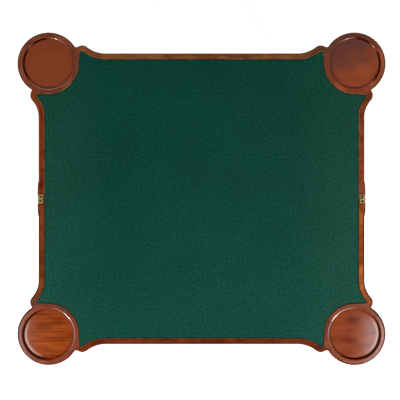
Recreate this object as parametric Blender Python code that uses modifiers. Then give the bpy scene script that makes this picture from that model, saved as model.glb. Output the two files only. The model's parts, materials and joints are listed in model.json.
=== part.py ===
"""A fold-over card table with round turret corners, standing open on its concertina frame.

Metres, +Z up. The floor is z = 0 and the fold line lies along X at y = 0. The fixed leaf is on
the -Y side, over the fixed frame. The folding leaf is on the +Y side, over the rear legs, which
draw in on two pairs of hinged flaps.
"""

import math

import bmesh
import bpy
from mathutils import Matrix, Vector

# The top as it lies open
TOP_WIDTH = 0.914
TOP_DEPTH = 0.826
PLAYING_HEIGHT = 0.706
LEAF_THICKNESS = 0.019
TURRET_RADIUS = 0.0775
SIDE_PAST_TURRET_MIDDLE = 0.0250
FRONT_PAST_TURRET_MIDDLE = 0.0255
EDGE_ROUND = 0.004
FOLD_GAP = 0.0004

# The shaped ears beside each turret
EAR_RADIUS = 0.0195
NECK_DROP = 0.0040
SIDE_EAR_HEIGHT = 0.0210
SIDE_EAR_GAP = 0.0010
SIDE_HOLLOW_RADIUS = 0.062
FRONT_EAR_HEIGHT = 0.0200
FRONT_EAR_GAP = 0.0060
FRONT_HOLLOW_RADIUS = 0.075

# The dished candle stands and the baize
WELL_RIM = 0.0155
WELL_DEPTH = 0.006
WELL_COVE = 0.004
BAIZE_BORDER = 0.015
BAIZE_TURRET_EASE = 0.002
BAIZE_CORNER_DRAW = 0.0015
BAIZE_RECESS = 0.0018
BAIZE_THICKNESS = 0.0012

# The frame under the top
OVERHANG = 0.0225
FRIEZE_HEIGHT = 0.088
RAIL_THICKNESS = 0.019
STILE_SIZE = 0.044
POST_SIZE = 0.050
CLOSED_SETBACK = 0.012
BACK_RAIL_INSET = 0.003
TENON_THICKNESS = 0.008
TENON_LENGTH = 0.010
TENON_SHOULDER = 0.008
BLOCK_SIZE = 0.022
BLOCK_LENGTH = 0.070

# The legs
KNEE_SPREAD = 0.022
FRONT_KNEE_HALF = 0.040
REAR_KNEE_HALF = 0.036

# The butt hinges of the flaps
HINGE_HEIGHT = 0.050
HINGE_LEAF_DEPTH = 0.014
HINGE_LEAF_THICKNESS = 0.0015
HINGE_STANDOFF = 0.0030
KNUCKLE_RADIUS = 0.0026
HINGE_PIN_RADIUS = 0.0012
PIN_CLEARANCE = 0.0003
KNUCKLE_GAP = 0.0003

# The hinges of the top, let into its ends at the fold line
TOP_HINGE_WIDTH = 0.0135
TOP_HINGE_REACH = 0.011
TOP_HINGE_LUG = 0.0025
FLANGE_LENGTH = 0.033
FLANGE_HEIGHT = 0.012
FLANGE_THICKNESS = 0.002
TOP_KNUCKLE_RADIUS = 0.0020
TOP_PIN_RADIUS = 0.0009
HINGE_BLOCK_LENGTH = 0.035
HINGE_BLOCK_SWELL = 0.002
SCREW_HEAD_RADIUS = 0.0022
SCREW_HEAD_HEIGHT = 0.0012
SCREW_SHANK_RADIUS = 0.0012
SCREW_LENGTH = 0.009

# Shared clearances, and how far a cutter runs past what it cuts
GAP = 0.0003
RUNNING_GAP = 0.0004
OVERRUN = 0.010
MERGE = 0.00003

# Counts that set how round a curve is
TURRET_STEPS = 18
EAR_STEPS = 5
WELL_STEPS = 32
COVE_STEPS = 3
LEG_STEPS = 16
KNUCKLE_STEPS = 12
SCREW_STEPS = 8
ROUNDING_STEPS = 2
FLAT_ANGLE = math.radians(0.5)

# Levels and lines worked out from the sizes above
LEAF_UNDERSIDE = PLAYING_HEIGHT - LEAF_THICKNESS
FRAME_TOP = LEAF_UNDERSIDE - GAP
MOVING_TOP = LEAF_UNDERSIDE - RUNNING_GAP
FRIEZE_BOTTOM = FRAME_TOP - FRIEZE_HEIGHT
HINGE_MIDDLE = FRIEZE_BOTTOM + FRIEZE_HEIGHT / 2
TURRET_X = TOP_WIDTH / 2 - TURRET_RADIUS
TURRET_Y = TOP_DEPTH / 2 - TURRET_RADIUS
SIDE_EDGE = TURRET_X + SIDE_PAST_TURRET_MIDDLE
FRONT_EDGE = TURRET_Y + FRONT_PAST_TURRET_MIDDLE
HINGE_BLOCK_EDGE = SIDE_EDGE + HINGE_BLOCK_SWELL
SIDE_EAR_TIP = TURRET_Y - TURRET_RADIUS - SIDE_EAR_GAP
FRONT_EAR_TIP = TURRET_X - TURRET_RADIUS - FRONT_EAR_GAP
WELL_RADIUS = TURRET_RADIUS - WELL_RIM
FOLD_AXIS = (0, 0, PLAYING_HEIGHT + FOLD_GAP / 2)

RAIL_OUTER = SIDE_EDGE - OVERHANG
RAIL_INNER = RAIL_OUTER - RAIL_THICKNESS
FRAME_FRONT = -(FRONT_EDGE - OVERHANG)
FRAME_BACK = -FRAME_FRONT
FLAP_SWING = RAIL_THICKNESS + 2 * HINGE_STANDOFF
REAR_JOINT = FRAME_BACK - POST_SIZE
FRONT_JOINT = -(CLOSED_SETBACK + POST_SIZE + 2 * FLAP_SWING)
MIDDLE_JOINT = (FRONT_JOINT + REAR_JOINT) / 2
INNER_PIN = RAIL_INNER - HINGE_STANDOFF
OUTER_PIN = RAIL_OUTER + HINGE_STANDOFF
FRONT_STILE_X = TURRET_X
FRONT_STILE_Y = -TURRET_Y
STILE_REAR = FRONT_STILE_Y + STILE_SIZE / 2
STILE_INNER = FRONT_STILE_X - STILE_SIZE / 2
BACK_RAIL_OUTER = FRAME_BACK - BACK_RAIL_INSET
INNER_RAIL_REAR = FRONT_JOINT - HINGE_STANDOFF
POST_X = RAIL_OUTER - POST_SIZE / 2
POST_Y = FRAME_BACK - POST_SIZE / 2
POST_INNER = RAIL_OUTER - POST_SIZE

# Each row, as shares: height up the leg, half width, spread along the diagonal, squareness
LEG_SECTION_SHARES = (
    (0.000, 0.58, 0.45, 0.00),
    (0.010, 0.62, 0.45, 0.00),
    (0.014, 0.78, 0.45, 0.00),
    (0.025, 0.84, 0.45, 0.00),
    (0.037, 0.78, 0.42, 0.00),
    (0.052, 0.60, 0.33, 0.00),
    (0.075, 0.44, 0.17, 0.05),
    (0.110, 0.36, -0.02, 0.10),
    (0.160, 0.33, -0.18, 0.12),
    (0.270, 0.37, -0.28, 0.18),
    (0.420, 0.45, -0.20, 0.25),
    (0.570, 0.56, 0.04, 0.32),
    (0.700, 0.71, 0.40, 0.38),
    (0.800, 0.87, 0.76, 0.42),
    (0.880, 0.98, 0.97, 0.46),
    (0.935, 0.99, 0.90, 0.55),
    (0.975, 0.90, 0.55, 0.70),
)
REAR_KNEE_TOP_SHARES = (0.70, 1.0)
FRONT_KNEE_TOP_SHARES = (0.98, 0.25)
TOP_SCREW_REACH_SHARE = 0.50
SIDE_SCREW_REACH_SHARE = 0.70

# Each finish: name, colour, roughness, metallic
MAHOGANY = ("mahogany", (0.21, 0.048, 0.014), 0.30, 0.0)
OAK = ("secondary_oak", (0.30, 0.17, 0.08), 0.70, 0.0)
BAIZE = ("green_baize", (0.008, 0.055, 0.038), 0.95, 0.0)
BRASS = ("aged_brass", (0.52, 0.33, 0.13), 0.35, 1.0)
IRON = ("dark_iron", (0.08, 0.07, 0.06), 0.50, 1.0)

HANDS = (("left", -1), ("right", 1))


def clear_scene():
    for old in list(bpy.data.objects):
        bpy.data.objects.remove(old, do_unlink=True)


def new_collection(name):
    made = bpy.data.collections.new(name)
    bpy.context.scene.collection.children.link(made)
    return made


def material(finish):
    name, colour, roughness, metallic = finish
    found = bpy.data.materials.get(name)
    if found:
        return found
    made = bpy.data.materials.new(name)
    made.use_nodes = True
    shader = made.node_tree.nodes["Principled BSDF"]
    shader.inputs["Base Color"].default_value = (*colour, 1.0)
    shader.inputs["Roughness"].default_value = roughness
    shader.inputs["Metallic"].default_value = metallic
    return made


def world_place(thing):
    place = Vector()
    while thing:
        place += thing.location
        thing = thing.parent
    return place


def pivot(name, place, parent=None):
    """An empty on a joint's axis, which carries the pieces that turn about it."""
    empty = bpy.data.objects.new(name, None)
    empty.location = Vector(place) - world_place(parent)
    empty.parent = parent
    empty.empty_display_size = POST_SIZE
    PARTS.objects.link(empty)
    return empty


def add_piece(name, mesh, origin, finish, parent):
    """Puts a mesh in the model as a finished piece or, with no finish, as a guide for Booleans."""
    piece = bpy.data.objects.new(name, mesh)
    piece.location = Vector(origin) - world_place(parent)
    piece.parent = parent
    if finish:
        mesh.materials.append(material(finish))
        PARTS.objects.link(piece)
    else:
        piece.hide_render = True
        piece.display_type = "WIRE"
        GUIDES.objects.link(piece)
    return piece


def place_shape(name, shape, origin, finish=None, parent=None):
    """Turns a bmesh drawn in world places into a piece whose own origin is at origin."""
    bmesh.ops.translate(shape, verts=shape.verts, vec=-Vector(origin))
    bmesh.ops.recalc_face_normals(shape, faces=shape.faces)
    mesh = bpy.data.meshes.new(name)
    shape.to_mesh(mesh)
    shape.free()
    return add_piece(name, mesh, origin, finish, parent)


def block(name, low, high, finish=None, parent=None):
    """A box between two opposite corners, given in any order."""
    low, high = Vector(low), Vector(high)
    size = high - low
    shape = bmesh.new()
    corners = bmesh.ops.create_cube(shape, size=1.0)["verts"]
    bmesh.ops.scale(shape, verts=corners, vec=[abs(length) for length in size])
    bmesh.ops.translate(shape, verts=corners, vec=(low + high) / 2)
    return place_shape(name, shape, (low + high) / 2, finish, parent)


def rod(name, start, end, radius, steps, finish=None, parent=None):
    """A round bar from start to end."""
    start, end = Vector(start), Vector(end)
    along = end - start
    turn = Vector((0, 0, 1)).rotation_difference(along.normalized()).to_matrix().to_4x4()
    shape = bmesh.new()
    bmesh.ops.create_cone(
        shape,
        cap_ends=True,
        segments=steps,
        radius1=radius,
        radius2=radius,
        depth=along.length,
        matrix=Matrix.Translation((start + end) / 2) @ turn,
    )
    piece = place_shape(name, shape, (start + end) / 2, finish, parent)
    piece.data.shade_smooth()
    piece.data.set_sharp_from_angle(angle=math.pi / 4)
    return piece


def flat_outline(name, points, bottom, top, origin, finish=None, parent=None, rounded=None):
    """An outline in plan, filled and given its thickness between two levels.

    rounded(x, y) says where the rim is to be rounded over, and gives its edges their weight.
    """
    curve = bpy.data.curves.new(name + "_outline", "CURVE")
    curve.dimensions = "2D"
    curve.fill_mode = "BOTH"
    curve.extrude = (top - bottom) / 2
    line = curve.splines.new("POLY")
    line.points.add(len(points) - 1)
    for spot, (x, y) in zip(line.points, points):
        spot.co = (x, y, 0, 1)
    line.use_cyclic_u = True
    drawn = bpy.data.objects.new(name + "_outline", curve)
    drawn.location.z = (top + bottom) / 2
    GUIDES.objects.link(drawn)
    bpy.context.view_layer.update()
    seen = drawn.evaluated_get(bpy.context.evaluated_depsgraph_get())
    mesh = bpy.data.meshes.new_from_object(seen)
    shape = bmesh.new()
    shape.from_mesh(mesh)
    bmesh.ops.transform(shape, matrix=drawn.matrix_world, verts=shape.verts)
    bmesh.ops.remove_doubles(shape, verts=shape.verts, dist=MERGE)
    bmesh.ops.dissolve_limit(
        shape, angle_limit=FLAT_ANGLE, verts=shape.verts, edges=shape.edges
    )
    bpy.data.objects.remove(drawn, do_unlink=True)
    bpy.data.meshes.remove(mesh)
    if rounded:
        weigh_rim(shape, rounded)
    return place_shape(name, shape, origin, finish, parent)


def weigh_rim(shape, rounded):
    """Weights for the Bevel: the edges between the flat faces and the sides, where rounded."""
    shape.normal_update()
    weights = shape.edges.layers.float.new("bevel_weight_edge")
    for edge in shape.edges:
        flat = [abs(face.normal.z) > math.cos(math.pi / 4) for face in edge.link_faces]
        if sum(flat) == 1 and any(rounded(end.co.x, end.co.y) for end in edge.verts):
            edge[weights] = 1.0


def combine(piece, guide, operation):
    """A Boolean with a guide, on the EXACT solver, which is Blender's default."""
    change = piece.modifiers.new(guide.name, "BOOLEAN")
    change.operation = operation
    change.object = guide


def cut(piece, *cutters):
    for cutter in cutters:
        combine(piece, cutter, "DIFFERENCE")


def join(piece, *additions):
    for addition in additions:
        combine(piece, addition, "UNION")


def ear_line(edge, tip, height, hollow, inset, past_tip):
    """Points (along, out) from the straight edge to past_tip beyond the ear's tip.

    A hollow arc leaves the straight and the rounded ear follows it, tangent to each other.
    inset draws the parallel line that far inside the edge.
    """
    turn = math.acos(1 - height / (EAR_RADIUS + hollow))
    start = tip - (EAR_RADIUS + hollow) * math.sin(turn)
    reach = hollow + inset
    points = []
    for step in range(EAR_STEPS + 1):
        angle = turn * step / EAR_STEPS
        out = edge + hollow - reach * math.cos(angle)
        points.append((start + reach * math.sin(angle), out))
    rounding = EAR_RADIUS - inset
    last = -math.asin(min(past_tip / rounding, math.sin(math.pi / 4)))
    for step in range(1, EAR_STEPS + 1):
        angle = turn + (last - turn) * step / EAR_STEPS
        out = edge + height - EAR_RADIUS + rounding * math.cos(angle)
        points.append((tip - rounding * math.sin(angle), out))
    return points


def side_ear(inset, past_tip):
    line = ear_line(
        SIDE_EDGE, SIDE_EAR_TIP, SIDE_EAR_HEIGHT, SIDE_HOLLOW_RADIUS, inset, past_tip
    )
    return [(out, along) for along, out in line]


def front_ear(inset, past_tip):
    return ear_line(
        FRONT_EDGE, FRONT_EAR_TIP, FRONT_EAR_HEIGHT, FRONT_HOLLOW_RADIUS, inset, past_tip
    )


def arc(centre, radius, start, end, steps):
    angles = [start + (end - start) * step / steps for step in range(steps + 1)]
    x, y = centre
    return [(x + radius * math.cos(a), y + radius * math.sin(a)) for a in angles]


def leaf_quarter():
    """The edge of a leaf on the +X +Y side, from the fold line round to its long edge."""
    past_tip = math.sqrt(EAR_RADIUS**2 - (EAR_RADIUS - NECK_DROP) ** 2)
    side_neck = SIDE_EDGE + SIDE_EAR_HEIGHT - NECK_DROP
    front_neck = FRONT_EDGE + FRONT_EAR_HEIGHT - NECK_DROP
    first = -math.acos((side_neck - TURRET_X) / TURRET_RADIUS)
    last = math.pi - math.asin((front_neck - TURRET_Y) / TURRET_RADIUS)
    points = [
        (HINGE_BLOCK_EDGE, FOLD_GAP / 2),
        (HINGE_BLOCK_EDGE, HINGE_BLOCK_LENGTH),
        (SIDE_EDGE, HINGE_BLOCK_LENGTH + HINGE_BLOCK_SWELL),
    ]
    points += side_ear(0, past_tip)
    points += arc((TURRET_X, TURRET_Y), TURRET_RADIUS, first, last, TURRET_STEPS)
    return points + list(reversed(front_ear(0, past_tip)))


def baize_quarter(inset, fold_end):
    """The edge of the baize on the +X +Y side, set in from the leaf's edge.

    It runs beside the edge to the ears, and back round the inner side of the turret.
    """
    round_turret = TURRET_RADIUS - BAIZE_TURRET_EASE + inset - BAIZE_BORDER
    side_limit = TURRET_Y - round_turret
    front_limit = TURRET_X - round_turret
    side = side_ear(inset, side_limit - BAIZE_CORNER_DRAW - SIDE_EAR_TIP)
    front = front_ear(inset, front_limit - BAIZE_CORNER_DRAW - FRONT_EAR_TIP)
    inner = arc(
        (TURRET_X, TURRET_Y), round_turret, -math.pi / 2, -math.pi, TURRET_STEPS // 2
    )
    corner = (front_limit - BAIZE_CORNER_DRAW, front[-1][1])
    return [(SIDE_EDGE - inset, fold_end)] + side + inner + [corner] + list(reversed(front))


def both_sides(quarter, side):
    """The whole leaf's outline: side is +1 for the folding leaf and -1 for the fixed one."""
    right = [(x, side * y) for x, y in quarter]
    return right + [(-x, y) for x, y in reversed(right)]


def well_cutter(name, x, y):
    """A turned cutter for a dished candle stand, with a cove at the foot of its wall."""
    floor = PLAYING_HEIGHT - WELL_DEPTH
    above = PLAYING_HEIGHT + OVERRUN
    profile = [(0, above), (WELL_RADIUS, above)]
    for step in range(COVE_STEPS + 1):
        angle = math.pi / 2 * step / COVE_STEPS
        out = WELL_RADIUS - WELL_COVE + WELL_COVE * math.cos(angle)
        profile.append((out, floor + WELL_COVE - WELL_COVE * math.sin(angle)))
    profile.append((0, floor))
    shape = bmesh.new()
    corners = [shape.verts.new((out, 0, height)) for out, height in profile]
    for start, end in zip(corners, corners[1:]):
        shape.edges.new((start, end))
    mesh = bpy.data.meshes.new(name)
    shape.to_mesh(mesh)
    shape.free()
    cutter = add_piece(name, mesh, (x, y, 0), None, None)
    turned = cutter.modifiers.new("turned", "SCREW")
    turned.steps = WELL_STEPS
    turned.render_steps = WELL_STEPS
    turned.use_merge_vertices = True
    turned.merge_threshold = MERGE
    return cutter


def hinge_housings(name, end, side):
    """The housings in a leaf's corner for its half of the top hinge."""
    outside = end * (HINGE_BLOCK_EDGE + OVERRUN)
    above = PLAYING_HEIGHT + OVERRUN
    lug = block(
        f"{name}_lug_housing",
        (outside, -side * OVERRUN, PLAYING_HEIGHT - TOP_HINGE_LUG - GAP),
        (
            end * (HINGE_BLOCK_EDGE - TOP_HINGE_WIDTH - GAP),
            side * (TOP_HINGE_REACH + GAP),
            above,
        ),
    )
    flange = block(
        f"{name}_flange_housing",
        (outside, -side * OVERRUN, PLAYING_HEIGHT - FLANGE_HEIGHT - GAP),
        (
            end * (HINGE_BLOCK_EDGE - FLANGE_THICKNESS - GAP),
            side * (FLANGE_LENGTH + GAP),
            above,
        ),
    )
    return lug, flange


def make_leaf(name, side, parent):
    """One leaf of the top: side is +1 for the folding leaf and -1 for the fixed one."""
    square_to = HINGE_BLOCK_LENGTH + HINGE_BLOCK_SWELL
    middle = (0, side * FRONT_EDGE / 2, (LEAF_UNDERSIDE + PLAYING_HEIGHT) / 2)
    leaf = flat_outline(
        name,
        both_sides(leaf_quarter(), side),
        LEAF_UNDERSIDE,
        PLAYING_HEIGHT,
        middle,
        MAHOGANY,
        parent,
        rounded=lambda x, y: side * y > square_to + MERGE,
    )
    rounding = leaf.modifiers.new("rounded_rim", "BEVEL")
    rounding.limit_method = "WEIGHT"
    rounding.width = EDGE_ROUND
    rounding.segments = ROUNDING_STEPS
    rounding.use_clamp_overlap = False
    recess = flat_outline(
        f"{name}_baize_recess",
        both_sides(baize_quarter(BAIZE_BORDER, -OVERRUN), side),
        PLAYING_HEIGHT - BAIZE_RECESS,
        PLAYING_HEIGHT + OVERRUN,
        middle,
    )
    cut(leaf, recess)
    for hand, end in HANDS:
        cut(leaf, well_cutter(f"{name}_{hand}_well", end * TURRET_X, side * TURRET_Y))
        cut(leaf, *hinge_housings(f"{name}_{hand}", end, side))
    return leaf


def make_baize(name, side, parent):
    floor = PLAYING_HEIGHT - BAIZE_RECESS + GAP
    return flat_outline(
        name,
        both_sides(baize_quarter(BAIZE_BORDER + GAP, FOLD_GAP / 2), side),
        floor,
        floor + BAIZE_THICKNESS,
        (0, side * FRONT_EDGE / 2, floor),
        BAIZE,
        parent,
    )


def screw(name, head, inward, plate, wood, parent):
    """A countersunk screw from its head's outer face inward, through a plate into wood."""
    head, inward = Vector(head), Vector(inward)
    neck = head + inward * SCREW_HEAD_HEIGHT
    tip = head + inward * SCREW_LENGTH
    piece = rod(name, head, neck, SCREW_HEAD_RADIUS, SCREW_STEPS, IRON, parent)
    shank = rod(f"{name}_shank", neck - inward * GAP, tip, SCREW_SHANK_RADIUS, SCREW_STEPS)
    join(piece, shank)
    head_hole = rod(
        f"{name}_head_hole",
        head - inward * OVERRUN,
        neck + inward * GAP,
        SCREW_HEAD_RADIUS + GAP,
        SCREW_STEPS,
    )
    shank_hole = rod(
        f"{name}_shank_hole", head, tip + inward * GAP, SCREW_SHANK_RADIUS + GAP, SCREW_STEPS
    )
    cut(plate, head_hole, shank_hole)
    cut(wood, shank_hole)
    return piece


def knuckle_span(start, end, index):
    """The start and end of one of a hinge's three knuckles."""
    pitch = (end - start) / 3
    trim = math.copysign(KNUCKLE_GAP / 2, pitch)
    return start + pitch * index + trim, start + pitch * (index + 1) - trim


def top_hinge_plate(name, end, side, indexes, parent):
    """One half of a top hinge: a lug on the surface, a flange on the edge, and knuckles."""
    inner = end * (HINGE_BLOCK_EDGE - TOP_HINGE_WIDTH)
    outer = end * HINGE_BLOCK_EDGE
    clear = side * (TOP_KNUCKLE_RADIUS + GAP)
    plate = block(
        name,
        (inner, clear, PLAYING_HEIGHT - TOP_HINGE_LUG),
        (outer, side * TOP_HINGE_REACH, PLAYING_HEIGHT),
        BRASS,
        parent,
    )
    flange = block(
        f"{name}_flange",
        (end * (HINGE_BLOCK_EDGE - FLANGE_THICKNESS), clear, PLAYING_HEIGHT - FLANGE_HEIGHT),
        (outer, side * FLANGE_LENGTH, PLAYING_HEIGHT),
    )
    join(plate, flange)
    axis_z = FOLD_AXIS[2]
    for index in indexes:
        first, last = knuckle_span(inner, outer, index)
        web = block(
            f"{name}_web_{index}",
            (first, 0, PLAYING_HEIGHT - TOP_HINGE_LUG),
            (last, clear + side * GAP, PLAYING_HEIGHT),
        )
        knuckle = rod(
            f"{name}_knuckle_{index}",
            (first, 0, axis_z),
            (last, 0, axis_z),
            TOP_KNUCKLE_RADIUS,
            KNUCKLE_STEPS,
        )
        join(plate, web, knuckle)
    bore = rod(
        f"{name}_bore",
        (inner - end * OVERRUN, 0, axis_z),
        (outer + end * OVERRUN, 0, axis_z),
        TOP_PIN_RADIUS + PIN_CLEARANCE,
        KNUCKLE_STEPS,
    )
    cut(plate, bore)
    return plate


def make_top_hinge(hand, end, fixed_leaf, fold_leaf, fold_pivot):
    inner = end * (HINGE_BLOCK_EDGE - TOP_HINGE_WIDTH)
    outer = end * HINGE_BLOCK_EDGE
    halves = (
        ("fixed", -1, (0, 2), fixed_leaf, None),
        ("fold", 1, (1,), fold_leaf, fold_pivot),
    )
    for part, side, indexes, leaf, parent in halves:
        name = f"{hand}_{part}_hinge_plate"
        plate = top_hinge_plate(name, end, side, indexes, parent)
        lug_middle = (inner + outer - end * FLANGE_THICKNESS) / 2
        top_head = (lug_middle, side * TOP_HINGE_REACH * TOP_SCREW_REACH_SHARE, PLAYING_HEIGHT)
        screw(f"{hand}_{part}_top_screw", top_head, (0, 0, -1), plate, leaf, parent)
        side_head = (
            outer,
            side * FLANGE_LENGTH * SIDE_SCREW_REACH_SHARE,
            PLAYING_HEIGHT - FLANGE_HEIGHT / 2,
        )
        screw(f"{hand}_{part}_side_screw", side_head, (-end, 0, 0), plate, leaf, parent)
    axis_z = FOLD_AXIS[2]
    rod(
        f"{hand}_top_hinge_pin",
        (inner, 0, axis_z),
        (outer, 0, axis_z),
        TOP_PIN_RADIUS,
        KNUCKLE_STEPS,
        IRON,
    )


def butt_leaf(name, joint, face, pin, side, indexes, wood, parent):
    """One leaf of a flap's butt hinge, let into the end of wood on that side of the joint."""
    away = math.copysign(1, pin - face)
    deep = face - away * HINGE_LEAF_DEPTH
    low = HINGE_MIDDLE - HINGE_HEIGHT / 2
    high = HINGE_MIDDLE + HINGE_HEIGHT / 2
    near = joint + side * GAP
    far = near + side * HINGE_LEAF_THICKNESS
    plate = block(name, (face, near, low), (deep, far, high), BRASS, parent)
    for index in indexes:
        first, last = knuckle_span(low, high, index)
        web = block(
            f"{name}_web_{index}", (face - away * KNUCKLE_RADIUS, near, first), (pin, far, last)
        )
        knuckle = rod(
            f"{name}_knuckle_{index}",
            (pin, joint, first),
            (pin, joint, last),
            KNUCKLE_RADIUS,
            KNUCKLE_STEPS,
        )
        join(plate, web, knuckle)
    bore = rod(
        f"{name}_bore",
        (pin, joint, low - OVERRUN),
        (pin, joint, high + OVERRUN),
        HINGE_PIN_RADIUS + PIN_CLEARANCE,
        KNUCKLE_STEPS,
    )
    cut(plate, bore)
    housing = block(
        f"{name}_housing",
        (face + away * OVERRUN, joint - side * OVERRUN, low - GAP),
        (deep - away * GAP, far + side * GAP, high + GAP),
    )
    cut(wood, housing)
    return plate


def make_butt_hinge(name, joint, face, pin, front_wood, rear_wood, front_parent, rear_parent):
    """A hinge between two flaps: the front leaf has two knuckles and holds the pin."""
    butt_leaf(f"{name}_front_leaf", joint, face, pin, -1, (0, 2), front_wood, front_parent)
    butt_leaf(f"{name}_rear_leaf", joint, face, pin, 1, (1,), rear_wood, rear_parent)
    rod(
        f"{name}_pin",
        (pin, joint, HINGE_MIDDLE - HINGE_HEIGHT / 2),
        (pin, joint, HINGE_MIDDLE + HINGE_HEIGHT / 2),
        HINGE_PIN_RADIUS,
        KNUCKLE_STEPS,
        IRON,
        front_parent,
    )


def tenon(rail, name, shoulder, along, middle, direction, stile):
    """A tenon on a rail's end and its mortise in a stile. along is "x" or "y".

    shoulder is where the rail ends, direction is which way the tenon points, and middle is
    the rail's middle line across its thickness.
    """
    low = FRIEZE_BOTTOM + TENON_SHOULDER
    high = FRAME_TOP - TENON_SHOULDER

    def corners(start, reach, ease):
        near, far = shoulder - direction * start, shoulder + direction * reach
        across = TENON_THICKNESS / 2 + ease
        spots = ((near, middle - across, low - ease), (far, middle + across, high + ease))
        if along == "y":
            spots = [(y, x, z) for x, y, z in spots]
        return spots

    join(rail, block(f"{name}_tenon", *corners(TENON_LENGTH, TENON_LENGTH, 0)))
    cut(stile, block(f"{name}_mortise", *corners(GAP, TENON_LENGTH + 2 * GAP, GAP)))


def leg_ring(centre, half, square, height):
    """One level of a leg: a circle drawn out towards a square by the squareness share."""
    ring = []
    for step in range(LEG_STEPS):
        angle = 2 * math.pi * step / LEG_STEPS
        x, y = math.cos(angle), math.sin(angle)
        stretch = 1 - square + square / max(abs(x), abs(y))
        ring.append((centre[0] + half * stretch * x, centre[1] + half * stretch * y, height))
    return ring


def make_leg(name, x, y, knee_half, knee_top_shares, stile, top, parent):
    """A cabriole leg on a pad foot, in one piece with its square stile.

    Its sections lean out along the diagonal, so faces are lofted between unlike rings.
    knee_top_shares are the half width and squareness where the knee meets the frieze.
    """
    knee_top = FRIEZE_BOTTOM - GAP
    lean = (math.copysign(math.sqrt(1 / 2), x), math.copysign(math.sqrt(1 / 2), y))
    rings = []
    for height, half, spread, square in LEG_SECTION_SHARES:
        out = spread * KNEE_SPREAD
        centre = (x + lean[0] * out, y + lean[1] * out)
        rings.append(leg_ring(centre, half * knee_half, square, height * knee_top))
    top_half, top_square = knee_top_shares
    rings.append(leg_ring((x, y), top_half * knee_half, top_square, knee_top))
    rings.append(leg_ring((x, y), stile / 2, 1, knee_top))
    rings.append(leg_ring((x, y), stile / 2, 1, top))
    shape = bmesh.new()
    loops = [[shape.verts.new(spot) for spot in ring] for ring in rings]
    for lower, upper in zip(loops, loops[1:]):
        for step in range(LEG_STEPS):
            after = (step + 1) % LEG_STEPS
            shape.faces.new((lower[step], lower[after], upper[after], upper[step]))
    shape.faces.new(reversed(loops[0]))
    shape.faces.new(loops[-1])
    leg = place_shape(name, shape, (x, y, 0), MAHOGANY, parent)
    leg.data.shade_smooth()
    leg.data.set_sharp_from_angle(angle=math.pi / 4)
    return leg


def turret_block_points(end):
    """The round block round the outer three quarters of a front stile, in plan."""
    radius = TURRET_RADIUS - OVERHANG
    rail_x = RAIL_OUTER + GAP - FRONT_STILE_X
    rail_y = FRAME_FRONT - GAP - FRONT_STILE_Y
    stile = STILE_SIZE / 2 + GAP
    first = math.acos(rail_x / radius)
    last = -math.pi + math.asin(-rail_y / radius)
    points = arc((0, 0), radius, first, last, TURRET_STEPS)
    points += [(-stile, rail_y), (-stile, -stile), (stile, -stile), (stile, stile)]
    points.append((rail_x, stile))
    return [(end * (FRONT_STILE_X + x), FRONT_STILE_Y + y) for x, y in points]


def make_front_corner(hand, end):
    """A front leg and the turret block that carries the frieze round it."""
    leg = make_leg(
        f"front_{hand}_leg",
        end * FRONT_STILE_X,
        FRONT_STILE_Y,
        FRONT_KNEE_HALF,
        FRONT_KNEE_TOP_SHARES,
        STILE_SIZE,
        FRAME_TOP,
        None,
    )
    flat_outline(
        f"{hand}_turret_block",
        turret_block_points(end),
        FRIEZE_BOTTOM,
        FRAME_TOP,
        (end * FRONT_STILE_X, FRONT_STILE_Y, FRIEZE_BOTTOM),
        MAHOGANY,
    )
    return leg


def make_fixed_frame():
    """The front half of the frame. Gives back the two side rails."""
    legs = {hand: make_front_corner(hand, end) for hand, end in HANDS}
    front = block(
        "front_rail",
        (-(STILE_INNER - GAP), FRAME_FRONT, FRIEZE_BOTTOM),
        (STILE_INNER - GAP, FRAME_FRONT + RAIL_THICKNESS, FRAME_TOP),
        MAHOGANY,
    )
    inner = block(
        "inner_back_rail",
        (-(RAIL_INNER - GAP), INNER_RAIL_REAR - RAIL_THICKNESS, FRIEZE_BOTTOM),
        (RAIL_INNER - GAP, INNER_RAIL_REAR, FRAME_TOP),
        OAK,
    )
    rails = {}
    for hand, end in HANDS:
        rail = block(
            f"{hand}_side_rail",
            (end * RAIL_INNER, STILE_REAR + GAP, FRIEZE_BOTTOM),
            (end * RAIL_OUTER, FRONT_JOINT - GAP, FRAME_TOP),
            MAHOGANY,
        )
        side_middle = end * (RAIL_INNER + RAIL_OUTER) / 2
        front_middle = FRAME_FRONT + RAIL_THICKNESS / 2
        inner_middle = INNER_RAIL_REAR - RAIL_THICKNESS / 2
        tenon(rail, f"{hand}_side_rail", STILE_REAR + GAP, "y", side_middle, -1, legs[hand])
        stile_face = end * (STILE_INNER - GAP)
        tenon(front, f"front_rail_{hand}", stile_face, "x", front_middle, end, legs[hand])
        rail_face = end * (RAIL_INNER - GAP)
        tenon(inner, f"inner_rail_{hand}", rail_face, "x", inner_middle, end, rail)
        rails[hand] = rail
        make_glue_blocks(hand, end)
    return rails


def make_glue_blocks(hand, end):
    """Blocks rubbed into the angle between the fixed leaf and its rails."""
    side_middle = (STILE_REAR + INNER_RAIL_REAR - RAIL_THICKNESS) / 2
    low = FRAME_TOP - BLOCK_SIZE
    block(
        f"{hand}_side_glue_block",
        (end * (RAIL_INNER - GAP), side_middle - BLOCK_LENGTH / 2, low),
        (end * (RAIL_INNER - GAP - BLOCK_SIZE), side_middle + BLOCK_LENGTH / 2, FRAME_TOP),
        OAK,
    )
    front_middle = end * STILE_INNER / 2
    front_face = FRAME_FRONT + RAIL_THICKNESS + GAP
    block(
        f"front_{hand}_glue_block",
        (front_middle - BLOCK_LENGTH / 2, front_face, low),
        (front_middle + BLOCK_LENGTH / 2, front_face + BLOCK_SIZE, FRAME_TOP),
        OAK,
    )


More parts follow.
